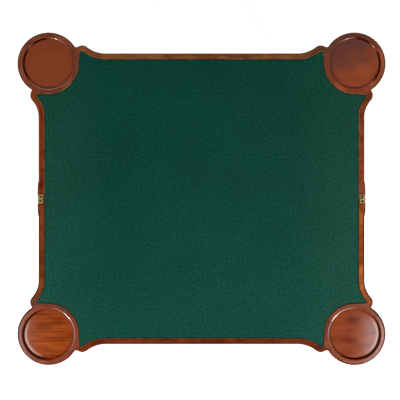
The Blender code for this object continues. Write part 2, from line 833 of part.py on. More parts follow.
def make_rear_frame(parent):
    """The rear legs and back rail, which slide in together. Gives back the legs."""
    back_inner = BACK_RAIL_OUTER - RAIL_THICKNESS
    back = block(
        "back_rail",
        (-(POST_INNER - GAP), back_inner, FRIEZE_BOTTOM),
        (POST_INNER - GAP, BACK_RAIL_OUTER, MOVING_TOP),
        MAHOGANY,
        parent,
    )
    legs = {}
    for hand, end in HANDS:
        legs[hand] = make_leg(
            f"rear_{hand}_leg",
            end * POST_X,
            POST_Y,
            REAR_KNEE_HALF,
            REAR_KNEE_TOP_SHARES,
            POST_SIZE,
            MOVING_TOP,
            parent,
        )
        post_face = end * (POST_INNER - GAP)
        back_middle = BACK_RAIL_OUTER - RAIL_THICKNESS / 2
        tenon(back, f"back_rail_{hand}", post_face, "x", back_middle, end, legs[hand])
        block(
            f"rear_{hand}_corner_block",
            (post_face, back_inner - GAP - BLOCK_SIZE, HINGE_MIDDLE - BLOCK_LENGTH / 2),
            (post_face - end * BLOCK_SIZE, back_inner - GAP, HINGE_MIDDLE + BLOCK_LENGTH / 2),
            OAK,
            parent,
        )
    return legs


def make_flap(name, end, start, stop, parent):
    return block(
        name,
        (end * RAIL_INNER, start + GAP, FRIEZE_BOTTOM + RUNNING_GAP),
        (end * RAIL_OUTER, stop - GAP, MOVING_TOP),
        MAHOGANY,
        parent,
    )


def make_concertina(rails):
    """Two hinged flaps a side, between the fixed side rails and the rear legs."""
    pivots = {}
    for hand, end in HANDS:
        front = pivot(f"{hand}_front_pivot", (end * INNER_PIN, FRONT_JOINT, HINGE_MIDDLE))
        middle = pivot(
            f"{hand}_middle_pivot", (end * OUTER_PIN, MIDDLE_JOINT, HINGE_MIDDLE), front
        )
        pivots[hand] = (front, middle)
    left_middle = pivots["left"][1]
    rear = pivot("rear_frame_pivot", (-INNER_PIN, REAR_JOINT, HINGE_MIDDLE), left_middle)
    legs = make_rear_frame(rear)
    for hand, end in HANDS:
        front, middle = pivots[hand]
        front_flap = make_flap(f"{hand}_front_flap", end, FRONT_JOINT, MIDDLE_JOINT, front)
        rear_flap = make_flap(f"{hand}_rear_flap", end, MIDDLE_JOINT, REAR_JOINT, middle)
        inner = (end * RAIL_INNER, end * INNER_PIN)
        outer = (end * RAIL_OUTER, end * OUTER_PIN)
        make_butt_hinge(
            f"{hand}_front_hinge", FRONT_JOINT, *inner, rails[hand], front_flap, None, front
        )
        make_butt_hinge(
            f"{hand}_middle_hinge", MIDDLE_JOINT, *outer, front_flap, rear_flap, front, middle
        )
        make_butt_hinge(
            f"{hand}_rear_hinge", REAR_JOINT, *inner, rear_flap, legs[hand], middle, rear
        )
        knuckle_groove = block(
            f"{hand}_knuckle_groove",
            (
                end * (INNER_PIN - KNUCKLE_RADIUS - RUNNING_GAP),
                REAR_JOINT - OVERRUN,
                HINGE_MIDDLE - HINGE_HEIGHT / 2 - GAP,
            ),
            (
                end * (RAIL_INNER + GAP),
                REAR_JOINT + KNUCKLE_RADIUS + RUNNING_GAP,
                HINGE_MIDDLE + HINGE_HEIGHT / 2 + GAP,
            ),
        )
        cut(legs[hand], knuckle_groove)


def make_top():
    fold_pivot = pivot("fold_pivot", FOLD_AXIS)
    fixed_leaf = make_leaf("fixed_leaf", -1, None)
    fold_leaf = make_leaf("fold_leaf", 1, fold_pivot)
    make_baize("fixed_baize", -1, None)
    make_baize("fold_baize", 1, fold_pivot)
    for hand, end in HANDS:
        make_top_hinge(hand, end, fixed_leaf, fold_leaf, fold_pivot)


clear_scene()
PARTS = new_collection("card_table")
GUIDES = new_collection("cutters")
make_top()
make_concertina(make_fixed_frame())
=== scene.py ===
"""A fold-over card table with round turret corners, open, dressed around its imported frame.

The top is two mahogany leaves with dished candle stands, and one baize across both. Everything
is in metres, with the floor at z = 0 and the fold line along X at y = 0.
"""

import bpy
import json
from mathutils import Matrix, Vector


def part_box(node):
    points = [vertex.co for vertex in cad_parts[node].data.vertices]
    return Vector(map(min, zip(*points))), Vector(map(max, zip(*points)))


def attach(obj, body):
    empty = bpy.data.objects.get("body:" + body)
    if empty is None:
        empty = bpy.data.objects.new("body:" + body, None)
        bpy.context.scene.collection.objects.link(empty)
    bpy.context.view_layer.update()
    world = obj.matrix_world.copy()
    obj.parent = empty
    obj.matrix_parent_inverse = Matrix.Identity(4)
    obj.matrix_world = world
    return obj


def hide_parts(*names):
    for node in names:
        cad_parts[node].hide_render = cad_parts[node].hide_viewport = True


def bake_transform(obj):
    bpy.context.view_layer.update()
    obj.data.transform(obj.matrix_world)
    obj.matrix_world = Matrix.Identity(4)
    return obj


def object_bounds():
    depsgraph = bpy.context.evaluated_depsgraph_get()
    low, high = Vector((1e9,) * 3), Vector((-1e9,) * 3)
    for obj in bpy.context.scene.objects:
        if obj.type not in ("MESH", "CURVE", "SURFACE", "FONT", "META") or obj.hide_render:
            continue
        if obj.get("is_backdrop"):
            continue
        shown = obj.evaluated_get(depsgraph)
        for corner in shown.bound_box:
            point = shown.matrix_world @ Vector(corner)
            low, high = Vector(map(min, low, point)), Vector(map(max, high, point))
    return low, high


bl_info = {
    "name": "Fold-over card table",
    "version": (1, 0, 0),
    "blender": (4, 5, 0),
    "location": "View3D > Sidebar > Card table",
    "description": "Dresses the packed frame of a turret-top card table",
    "category": "Object",
}

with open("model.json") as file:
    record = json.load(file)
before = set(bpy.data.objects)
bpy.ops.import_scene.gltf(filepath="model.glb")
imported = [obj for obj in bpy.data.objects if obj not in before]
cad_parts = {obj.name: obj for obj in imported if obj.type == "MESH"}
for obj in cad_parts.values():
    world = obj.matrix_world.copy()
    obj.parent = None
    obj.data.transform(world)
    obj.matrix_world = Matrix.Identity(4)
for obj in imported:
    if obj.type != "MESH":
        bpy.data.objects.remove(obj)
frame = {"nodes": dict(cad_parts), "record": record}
CAD_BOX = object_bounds()

import json
import math

import bmesh
import bpy
from mathutils import Vector, noise

# The top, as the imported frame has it
PLAYING_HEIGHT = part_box("fixed_leaf")[1].z
LEAF_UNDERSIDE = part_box("fixed_leaf")[0].z
TURRET_RADIUS = 0.0775
TURRET_X = 0.3795
TURRET_Y = 0.3355
SIDE_EDGE = 0.4045
FRONT_EDGE = 0.361
FOLD_GAP = 0.0001
EAR_RADIUS = 0.0195
NECK_DROP = 0.0040
SIDE_EAR_TIP = TURRET_Y - TURRET_RADIUS - 0.0010
SIDE_EAR_HEIGHT = 0.0210
SIDE_HOLLOW = 0.062
FRONT_EAR_TIP = TURRET_X - TURRET_RADIUS - 0.0060
FRONT_EAR_HEIGHT = 0.0200
FRONT_HOLLOW = 0.075
HINGE_BLOCK_EDGE = 0.4065
HINGE_BLOCK_LENGTH = 0.035
HINGE_BLOCK_SWELL = 0.002
HINGE_BLOCK_EASE = 0.010
HINGE_WIDTH = 0.0135
HINGE_REACH = 0.011
HINGE_LUG = 0.0025
FLANGE_LENGTH = 0.033
FLANGE_HEIGHT = 0.012
FLANGE_THICKNESS = 0.002
FLANGE_COVER = 0.0021
CLEARANCE = 0.0003
WELL_RADIUS = 0.062
WELL_DEPTH = 0.006
WELL_COVE = 0.0045
LIP_WIDTH_TO_DEPTH = 2
# Where the wall's dark finish of wax and painted shade begins and ends, from a stand's middle
WAX_SHADE_START = WELL_RADIUS - 0.0048
WAX_SHADE_END = WELL_RADIUS + 0.0005
BAIZE_BORDER = 0.015
BAIZE_TURRET_EASE = 0.002
BAIZE_CORNER_DRAW = 0.0015
BAIZE_RECESS = 0.0018
BAIZE_THICKNESS = 0.0012
BAIZE_EASE = 0.0004
ARRIS_WIDTH = 0.0014
ARRIS_DROP = 0.0005
# Width of the baize's darkened edge: grime and painted shade beside the border
EDGE_GRIME_AND_SHADE = 0.0025

# How finely the baize is cut up: evenly all over, and more finely across the fold line
CLOTH_GRID = 0.024
FOLD_GRID = 0.0003
NAP_HEIGHT = 0.00012

# How far a cutter reaches past what it cuts
OVERRUN = 0.01
# How far apart two places on a piece may lie and still count as one
TOLERANCE = 0.0001
MERGE_DISTANCE = 0.00001
# How much the arrises of brass and iron are eased
METAL_EASE = 0.0002

# The screws of the top hinges: radius of head and shank, then how far down from the top of the
# head the straight rim and the cone end, the length of the point, and the slot
SCREW_HEAD = 0.0022
SCREW_SHANK = 0.0012
SCREW_RIM = 0.0003
SCREW_NECK = 0.0012
SCREW_POINT = 0.0018
SLOT_WIDTH = 0.0005
SLOT_DEPTH = 0.0006

# The frame and the legs
FRIEZE_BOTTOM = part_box("front_rail")[0].z
FRIEZE_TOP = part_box("front_rail")[1].z
MOVING_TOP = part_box("back_rail")[1].z
SIDE_RAIL_FACE = 0.382
FRONT_RAIL_FACE = 0.3385
TURRET_BLOCK_RADIUS = 0.055
REAR_LEG_X = 0.357
REAR_LEG_Y = 0.3135
KNEE_SPREAD = 0.022
KNEE_TOP = FRIEZE_BOTTOM - CLEARANCE
KNEE_EASE = 0.0006
FRONT_STILE = 0.044
REAR_STILE = 0.050
# Half the knee's width, then of its top: half width as a share of that, and how square it is
FRONT_KNEE = (0.040, 0.98, 0.25)
REAR_KNEE = (0.036, 0.70, 1.0)
# Going up a leg: height as a share of the knee's top, half width as a share of the knee's,
# how far the middle leans out towards the corner, and how square the section is
LEG_SECTIONS = (
    (0.000, 0.58, 0.45, 0.00),
    (0.010, 0.62, 0.45, 0.00),
    (0.014, 0.78, 0.45, 0.00),
    (0.025, 0.84, 0.45, 0.00),
    (0.037, 0.78, 0.42, 0.00),
    (0.052, 0.60, 0.33, 0.00),
    (0.075, 0.44, 0.17, 0.05),
    (0.110, 0.36, -0.02, 0.10),
    (0.160, 0.33, -0.18, 0.12),
    (0.270, 0.37, -0.28, 0.18),
    (0.420, 0.45, -0.20, 0.25),
    (0.570, 0.56, 0.04, 0.32),
    (0.700, 0.71, 0.40, 0.38),
    (0.800, 0.87, 0.76, 0.42),
    (0.880, 0.98, 0.97, 0.46),
    (0.935, 0.99, 0.90, 0.55),
    (0.975, 0.90, 0.55, 0.70),
)

# Counts that set how round a curve is
EAR_STEPS = 12
TURRET_STEPS = 72
WELL_STEPS = 128
COVE_STEPS = 10
ROUND_STEPS = 6
LEG_STEPS = 48
LEG_LEVELS_BETWEEN = 4
ROD_STEPS = 32
SHARP_ANGLE = math.radians(32)

HANDS = (("left", -1), ("right", 1))
TURRETS = {
    "front_left": (-TURRET_X, -TURRET_Y),
    "front_right": (TURRET_X, -TURRET_Y),
    "rear_left": (-TURRET_X, TURRET_Y),
    "rear_right": (TURRET_X, TURRET_Y),
}

# How the side borders differ from the rest of their leaf, left and right, by channel
BORDER_TINTS = {
    "rear": ((0.72, 0.31, 0.17), (0.90, 0.63, 0.73)),
    "front": ((1.25, 1.6, 2.1), (2.45, 3.8, 4.8)),
}
# The colour that hands and old polish have given each stand's ring, and how strongly
RING_TONES = {
    "front_left": ((120, 54, 32), 0.85),
    "front_right": ((126, 60, 32), 0.85),
    "rear_left": ((118, 57, 42), 0.65),
    "rear_right": ((158, 75, 44), 0.75),
}
# How strong the figure of each stand's wood is, and how mottled and how finely streaked
STAND_FIGURE = {
    "front_left": (1.4, 0.40, 0.50),
    "front_right": (0.9, 0.50, 0.40),
    "rear_left": (0.3, 0.20, 0.30),
    "rear_right": (0.55, 0.40, 0.30),
}
# Darker patches on the floors: place from the middle, half size and strength
STAND_BLOTCHES = {
    "front_left": ((-0.015, 0.017, 0.034, 0.017, 0.45), (0.020, 0.030, 0.030, 0.010, 0.45)),
    "front_right": (
        (0.000, 0.036, 0.026, 0.011, 0.95),
        (-0.012, -0.016, 0.024, 0.010, 0.95),
        (-0.008, 0.010, 0.014, 0.006, 0.70),
    ),
}
# Where old wax and painted shade lie thick round each stand, in degrees: its bearing from +X,
# half its width, and over how much more it thins out. Then how far up the lip it has crept
WAX_SHADE_SECTORS = {
    "front_left": ((215, 42, 30, 0.0032), (148, 26, 20, 0.0014)),
    "front_right": ((-20, 42, 30, 0.0030), (-92, 20, 18, 0.0015)),
    "rear_left": ((111, 13, 10, 0.0017), (182, 30, 12, 0.0016)),
    "rear_right": ((-6, 30, 10, 0.0032), (70, 12, 8, 0.0030)),
}
# Where a pale sheen is painted into the cove of a front stand, as a lamp's reflection would lie:
# the same degrees, and how strongly
PAINTED_SHEEN_SECTORS = {"front_left": (200, 22, 36, 0.75), "front_right": (-8, 22, 36, 0.7)}
# Softboxes: place, turn about each axis in degrees, share of the lamp power, and width
LAMPS = (
    ("lamp_left", (-1.33, -1.20, 2.2), (0, -43, 0), 0.54, 0.3),
    ("panel_left", (-1.30, -1.12, 2.2), (0, -43, 0), 0.44, 1.3),
    ("lamp_right", (1.33, -1.20, 2.2), (0, 43, 0), 0.44, 0.3),
    ("panel_right", (1.25, -1.20, 2.2), (0, 43, 0), 0.54, 1.3),
    ("lamp_rear", (-0.7, 1.7, 2.3), (-45, 0, 0), 0.2, 1.2),
)
# How far the camera stands off the table's middle, as shares of the picture's width
CAMERA_SHIFT = (-1.5 / 400, -1.2 / 400)
NODE_BODY = {
    node: body
    for body, nodes in frame["record"]["behaviour"]["bodies"].items()
    for node in nodes
}


def linear(red, green, blue):
    """A screen colour from 0 to 255 as the linear colour that a shader takes."""

    def channel(value):
        share = value / 255
        if share <= 0.04045:
            return share / 12.92
        return ((share + 0.055) / 1.055) ** 2.4

    return channel(red), channel(green), channel(blue)


def colour_property(name, description, screen):
    return bpy.props.FloatVectorProperty(
        name=name,
        description=description,
        default=linear(*screen),
        min=0.0,
        max=1.0,
        size=3,
        subtype="COLOR",
    )


def length_property(name, description, default, least, most):
    return bpy.props.FloatProperty(
        name=name,
        description=description,
        default=default,
        min=least,
        max=most,
        precision=4,
        unit="LENGTH",
    )


class CardTableTimber(bpy.types.PropertyGroup):
    """Colours of the mahogany and the oak."""

    fixed_leaf: colour_property("Fixed leaf", "Mahogany of the fixed leaf", (104, 39, 8))
    fold_leaf: colour_property("Folding leaf", "Mahogany of the folding leaf", (136, 71, 34))
    front_left_stand: colour_property(
        "Front left stand", "Wood of the front left candle stand", (135, 55, 10)
    )
    front_right_stand: colour_property(
        "Front right stand", "Wood of the front right candle stand", (134, 58, 26)
    )
    rear_left_stand: colour_property(
        "Rear left stand", "Wood of the rear left candle stand", (135, 62, 32)
    )
    rear_right_stand: colour_property(
        "Rear right stand", "Wood of the rear right candle stand", (152, 72, 41)
    )
    frame_wood: colour_property("Frame", "Mahogany of the frieze and legs", (116, 50, 27))
    oak: colour_property("Oak", "Oak of the hidden blocks and rail", (142, 108, 72))


class CardTableCloth(bpy.types.PropertyGroup):
    """Colour and thickness of the baize."""

    green: colour_property("Baize green", "Colour of the baize", (20, 66, 53))
    thickness: length_property(
        "Thickness", "How thick the baize is", BAIZE_THICKNESS, 0.0005, 0.0014
    )


class CardTableShape(bpy.types.PropertyGroup):
    """Roundings that the frame leaves to the finished table."""

    top_round: length_property(
        "Rim rounding", "Radius that the rim of each leaf is rounded to", 0.0045, 0.001, 0.008
    )
    lip_round: length_property(
        "Lip rounding",
        "Depth of the rounded lip of each candle stand, half its width",
        0.0024,
        0.0002,
        0.004,
    )
    rail_round: length_property(
        "Arris rounding",
        "Width of the eased arris on rails, flaps and blocks",
        0.0007,
        0.0001,
        0.003,
    )


class CardTableStudio(bpy.types.PropertyGroup):
    """The lamps and the camera."""

    lamp_power: bpy.props.FloatProperty(
        name="Lamp power",
        description="Power of the lamps on each side together",
        default=37.0,
        min=0.0,
        unit="POWER",
    )
    camera_height: length_property(
        "Camera height", "Height of the camera above the playing surface", 2.2, 0.5, 10.0
    )
    picture_width: length_property(
        "Picture width", "Width of the picture at the playing surface", 0.9912, 0.1, 10.0
    )


# Nodes of a material


def feed(tree, node, inputs):
    """Links or sets the node's inputs, each by its name or number."""
    for key, value in inputs.items():
        if isinstance(value, bpy.types.NodeSocket):
            tree.links.new(value, node.inputs[key])
        else:
            node.inputs[key].default_value = value


def add_node(tree, kind, inputs, **settings):
    made = tree.nodes.new(kind)
    for key, value in settings.items():
        setattr(made, key, value)
    feed(tree, made, inputs)
    return made


def calc(tree, operation, *values):
    made = add_node(tree, "ShaderNodeMath", dict(enumerate(values)), operation=operation)
    return made.outputs[0]


def times(tree, *factors):
    product = factors[0]
    for factor in factors[1:]:
        product = calc(tree, "MULTIPLY", product, factor)
    return product


def vector_calc(tree, operation, *values):
    """The outputs of vector mathematics, which are Vector and Value."""
    inputs = dict(enumerate(values))
    return add_node(tree, "ShaderNodeVectorMath", inputs, operation=operation).outputs


def mixed(tree, share, first, second, blend="MIX"):
    inputs = {0: share, 6: first, 7: second}
    made = add_node(tree, "ShaderNodeMix", inputs, data_type="RGBA", blend_type=blend)
    return made.outputs[2]


def spread(tree, value, low, high, to_low=0.0, to_high=1.0):
    """Value from low to high as a number from to_low to to_high, held level outside."""
    inputs = {"Value": value, 1: low, 2: high, 3: to_low, 4: to_high}
    return add_node(tree, "ShaderNodeMapRange", inputs).outputs[0]


def object_place(tree):
    return add_node(tree, "ShaderNodeTexCoord", {}).outputs["Object"]


def coordinates(tree):
    """The outputs X, Y and Z, in object coordinates."""
    return add_node(tree, "ShaderNodeSeparateXYZ", {"Vector": object_place(tree)}).outputs


def placed(tree, scale, shift=(0, 0, 0)):
    """Object coordinates, shifted and then scaled."""
    moved = vector_calc(tree, "ADD", object_place(tree), shift)["Vector"]
    return vector_calc(tree, "MULTIPLY", moved, scale)["Vector"]


def cloudy(tree, vector, detail=3.0, roughness=0.5, distortion=0.0):
    inputs = {
        "Vector": vector,
        "Scale": 1.0,
        "Detail": detail,
        "Roughness": roughness,
        "Distortion": distortion,
    }
    return add_node(tree, "ShaderNodeTexNoise", inputs).outputs["Fac"]


def mottled(tree, scale, **settings):
    """Clouds of the same size along all three axes."""
    return cloudy(tree, placed(tree, (scale,) * 3), **settings)


def bumpy(tree, height, strength, distance):
    bumps = {"Height": height, "Strength": strength, "Distance": distance}
    return add_node(tree, "ShaderNodeBump", bumps).outputs[0]


def new_material(name):
    made = bpy.data.materials.new(name)
    made.use_nodes = True
    return made, made.node_tree, made.node_tree.nodes["Principled BSDF"]


def shade(colour, share):
    """A colour as a shader takes it, made darker or lighter by a share."""
    return (*(min(channel * share, 1.0) for channel in colour), 1.0)


def tinted(colour, red, green, blue):
    """A colour with each channel made darker or lighter by its own share."""
    return (*(min(part * share, 1.0) for part, share in zip(colour, (red, green, blue))), 1.0)


def grained(tree, colour, grain, shift, contrast, mottle=0.25, fine=0.30):
    """The colour of wood whose fibres run along grain, and the height of its pores.

    Mottle and fine are the shares of clouds and of thin streaks in its figure.
    """
    axis = "xyz".index(grain)

    def along(length, across):
        scale = [across] * 3
        scale[axis] = length
        return placed(tree, tuple(scale), shift)

    figure = cloudy(tree, along(3.5, 38.0), detail=4.0, roughness=0.55, distortion=0.8)
    streaks = cloudy(tree, along(9.0, 260.0), detail=3.0, roughness=0.6)
    pores = cloudy(tree, along(40.0, 1400.0), detail=2.0)
    patches = cloudy(tree, along(16.0, 30.0), detail=3.0, distortion=0.6)
    body = calc(tree, "MULTIPLY", figure, 1 - fine - mottle)
    body = calc(tree, "MULTIPLY_ADD", streaks, fine, body)
    body = calc(tree, "MULTIPLY_ADD", patches, mottle, body)
    ramp = add_node(tree, "ShaderNodeValToRGB", {"Fac": spread(tree, body, 0.34, 0.66)})
    steps = (
        (0.0, tinted(colour, 1 - 0.45 * contrast, 1 - 0.52 * contrast, 1 - 0.5 * contrast)),
        (0.45, tinted(colour, 1, 1, 1)),
        (1.0, tinted(colour, 1 + 0.32 * contrast, 1 + 0.6 * contrast, 1 + 0.5 * contrast)),
    )
    ramp.color_ramp.elements.new(0.5)
    for element, (place, tint) in zip(ramp.color_ramp.elements, steps):
        element.position = place
        element.color = tint
    dark_pores = spread(tree, pores, 0.60, 0.74, 0.0, 0.5)
    wood = mixed(tree, dark_pores, ramp.outputs["Color"], shade(colour, 0.25))
    return wood, pores, streaks


def polish(tree, shader, wood, pores, streaks, rough=(0.07, 0.12), bump=0.04, gloss=0.75):
    look = {
        "Base Color": wood,
        "Roughness": spread(tree, streaks, 0.3, 0.7, *rough),
        "Normal": bumpy(tree, spread(tree, pores, 0.74, 0.58), bump, 0.0003),
        "Specular IOR Level": gloss,
    }
    feed(tree, shader, look)


def polished_mahogany(name, colour, grain, shift, contrast=1.0):
    """The polished wood of the frame and of the closed table's top."""
    made, tree, shader = new_material(name)
    wood = grained(tree, colour, grain, shift, contrast)
    polish(tree, shader, *wood, rough=(0.22, 0.30), gloss=0.45)
    return made


def distance_from(tree, x, y, wide=1.0, deep=1.0):
    """How far, seen from above, a point is from the one at x, y, in units wide and deep."""
    centred = placed(tree, (1 / wide, 1 / deep, 0.0), (-x, -y, 0.0))
    return vector_calc(tree, "LENGTH", centred)["Value"]


def distance_towards(tree, x, y, direction):
    """How far, seen from above, a point lies from the one at x, y in a direction."""
    centred = placed(tree, (1.0, 1.0, 0.0), (-x, -y, 0.0))
    return vector_calc(tree, "DOT_PRODUCT", centred, (*direction, 0.0))["Value"]


def leaf_mahogany(name, colour, grain_shift, side):
    """A leaf's top face: greasing and painted shade at the hinges and along the fold, handled
    borders and rings, and a dull rear corner that is partly a painted reflection.
    """
    made, tree, shader = new_material(name)
    wood, pores, streaks = grained(tree, colour, "x", grain_shift, 1.1, 0.45)
    parts = coordinates(tree)
    along = calc(tree, "ABSOLUTE", parts["Y"])
    out = calc(tree, "ABSOLUTE", parts["X"])
    # Painted shade: darker along the fold line and beside the hinge plates, where the gaps
    # between the parts fall in shade, partly from greasing
    beside = times(
        tree,
        spread(tree, along, 0.0150, 0.0120),
        spread(tree, out, HINGE_BLOCK_EDGE - 0.0168, HINGE_BLOCK_EDGE - 0.0142),
    )
    greasy_and_shaded = calc(tree, "MAXIMUM", beside, spread(tree, along, 0.0022, 0.0008))
    upper = spread(tree, parts["Z"], PLAYING_HEIGHT - 0.0030, PLAYING_HEIGHT - 0.0010, 0.0, 0.9)
    wood = mixed(tree, times(tree, greasy_and_shaded, upper), wood, shade(colour, 0.08))
    handled = mottled(tree, 26.0, distortion=0.5)
    pale = spread(tree, handled, 0.52, 0.66, 0.0, 0.75)
    wood = mixed(tree, pale, wood, tinted(colour, 1.2, 1.6, 3.0))
    dark = spread(tree, handled, 0.47, 0.36, 0.0, 0.7)
    wood = mixed(tree, dark, wood, tinted(colour, 0.5, 0.4, 0.4))
    tints = BORDER_TINTS["rear" if side > 0 else "front"]
    for (_, end), tint in zip(HANDS, tints):
        border = times(
            tree,
            spread(tree, times(tree, parts["X"], end), 0.36, 0.385),
            spread(tree, along, 0.275, 0.235),
        )
        wood = mixed(tree, border, wood, (*tint, 1.0), "MULTIPLY")
    for corner, (screen, strength) in RING_TONES.items():
        x, y = TURRETS[corner]
        if y * side > 0:
            tone = linear(*screen)
            varied = mixed(
                tree,
                spread(tree, handled, 0.38, 0.62),
                tinted(tone, 0.78, 0.70, 0.65),
                tinted(tone, 1.2, 1.35, 1.6),
            )
            on_ring = spread(tree, distance_from(tree, x, y), 0.082, 0.076, 0.0, strength)
            wood = mixed(tree, on_ring, wood, varied)
    if side > 0:
        # Painted reflection, partly dull old polish: the rear right corner of the folding leaf
        # is turned dark purple
        reach = distance_from(tree, 0.355, 0.405)
        dull = spread(tree, reach, 0.105, 0.055, 0.0, 0.8)
        wood = mixed(tree, dull, wood, tinted(colour, 0.38, 0.50, 1.2))
    rough = (0.07, 0.12) if side > 0 else (0.10, 0.15)
    polish(tree, shader, wood, pores, streaks, rough=rough)
    return made


def plain_wood(name, colour, grain, shift):
    """Unpolished wood of undersides and hidden parts."""
    made, tree, shader = new_material(name)
    wood = grained(tree, colour, grain, shift, 0.8)
    polish(tree, shader, *wood, rough=(0.62, 0.8), bump=0.3, gloss=0.25)
    return made


def arris_wear_and_highlight(name, colour):
    """An arris, dark with grime in patches and pale in others: wear, and a painted highlight
    where it would catch the light.
    """
    made, tree, shader = new_material(name)
    share = spread(tree, mottled(tree, 45.0, detail=4.0), 0.42, 0.66)
    # Painted highlight: the pale patches stand for light caught by the arris, partly wear
    arris_colour = mixed(tree, share, tinted(colour, 0.3, 0.6, 0.9), tinted(colour, 1.1, 2.2, 3.2))
    feed(tree, shader, {"Base Color": arris_colour, "Roughness": 0.42})
    return made


def rim_wax_and_shade(name, colour, grain, shift):
    """The rounded rim, darker at its outermost from wax gathered there and from painted shade,
    less so at the front.
    """
    made, tree, shader = new_material(name)
    wood, pores, streaks = grained(tree, colour, grain, shift, 0.7)
    parts = coordinates(tree)
    # Painted shade: the outermost rim is darkened, less at the front where the lamps stand,
    # partly as old wax
    outermost = spread(tree, parts["Z"], PLAYING_HEIGHT, PLAYING_HEIGHT - 0.0006)
    patchiness = spread(tree, mottled(tree, 38.0, detail=4.0), 0.35, 0.60, 0.6, 1.0)
    front = spread(tree, parts["Y"], -FRONT_EDGE, -FRONT_EDGE + 0.04, 0.3, 1.0)
    dark = mixed(tree, times(tree, outermost, patchiness, front), wood, shade(colour, 0.15))
    polish(tree, shader, dark, pores, streaks, rough=(0.16, 0.26), gloss=0.15)
    return made


def ring_share(tree, out, inner, outer, soft):
    """1 between two radii, falling off softly on both sides."""
    return times(
        tree, spread(tree, out, inner - soft, inner), spread(tree, out, outer + soft, outer)
    )


def in_sector(tree, out, x, y, turn, half, soft):
    """1 up to half degrees either side of the bearing turn, seen from x, y, then less."""
    bearing = (math.cos(math.radians(turn)), math.sin(math.radians(turn)))
    share = calc(tree, "DIVIDE", distance_towards(tree, x, y, bearing), out)
    edges = (math.cos(math.radians(angle)) for angle in (half + soft, half))
    return spread(tree, share, *edges)


def dished_mahogany(name, colour, corner, shift, waxed=False):
    """The floor and cove of a candle stand, or its wall, dark with wax and painted shade."""
    made, tree, shader = new_material(name)
    wood, pores, streaks = grained(tree, colour, "x", shift, *STAND_FIGURE[corner])
    x, y = TURRETS[corner]
    out = distance_from(tree, x, y)
    clouds = cloudy(tree, placed(tree, (24.0, 34.0, 30.0)), detail=4.0, distortion=0.4)
    if corner == "rear_right":
        # Painted reflection, partly dull old polish: the rear right stand's floor is turned dark
        # purple towards its rear and left
        lean = distance_towards(tree, x, y, (-0.45, 0.89))
        lean = calc(tree, "MULTIPLY_ADD", clouds, 0.09, lean)
        dull = spread(tree, lean, 0.012, 0.080, 0.0, 0.95)
        wood = mixed(tree, dull, wood, tinted(colour, 0.46, 0.66, 1.4))
    for across, up, wide, deep, strength in STAND_BLOTCHES.get(corner, ()):
        reach = distance_from(tree, x + across, y + up, wide, deep)
        reach = calc(tree, "MULTIPLY_ADD", clouds, 1.2, reach)
        dark = spread(tree, reach, 1.65, 0.85, 0.0, strength)
        wood = mixed(tree, dark, wood, tinted(colour, 0.55, 0.42, 0.30))
    # Painted highlight: a pale pinkish sheen in the cove of a front stand, where a lamp's
    # reflection would fall
    if corner in PAINTED_SHEEN_SECTORS:
        *sector, strength = PAINTED_SHEEN_SECTORS[corner]
        painted_sheen = times(
            tree,
            spread(tree, out, WAX_SHADE_START - 0.005, WAX_SHADE_START + 0.0012, 0.0, strength),
            spread(tree, out, WAX_SHADE_START + 0.0040, WAX_SHADE_START + 0.0028),
            in_sector(tree, out, x, y, *sector),
        )
        wood = mixed(tree, painted_sheen, wood, (*linear(206, 172, 160), 1.0))
    if not waxed:
        polish(tree, shader, wood, pores, streaks)
        return made
    # Painted shade: a dark ring at the foot of the wall and thick dark arcs on the outer sides,
    # where the wall falls in shade, partly old wax
    ragged = spread(tree, mottled(tree, 55.0), 0.35, 0.6, 0.35, 0.8)
    dirt_and_shade = ring_share(tree, out, WELL_RADIUS - 0.0014, WELL_RADIUS - 0.0002, 0.0008)
    dirt_and_shade = times(tree, dirt_and_shade, ragged)
    for *sector, spill in WAX_SHADE_SECTORS[corner]:
        inner = WAX_SHADE_START + 0.0009 + spill
        thick = ring_share(tree, out, inner, WAX_SHADE_END - 0.0006 + spill, 0.0006)
        thick = times(tree, thick, in_sector(tree, out, x, y, *sector))
        dirt_and_shade = calc(tree, "MAXIMUM", dirt_and_shade, thick)
    wood = mixed(tree, dirt_and_shade, wood, tinted(colour, 0.11, 0.07, 0.05))
    feed(tree, shader, {"Base Color": wood, "Roughness": 0.5, "Specular IOR Level": 0.04})
    return made


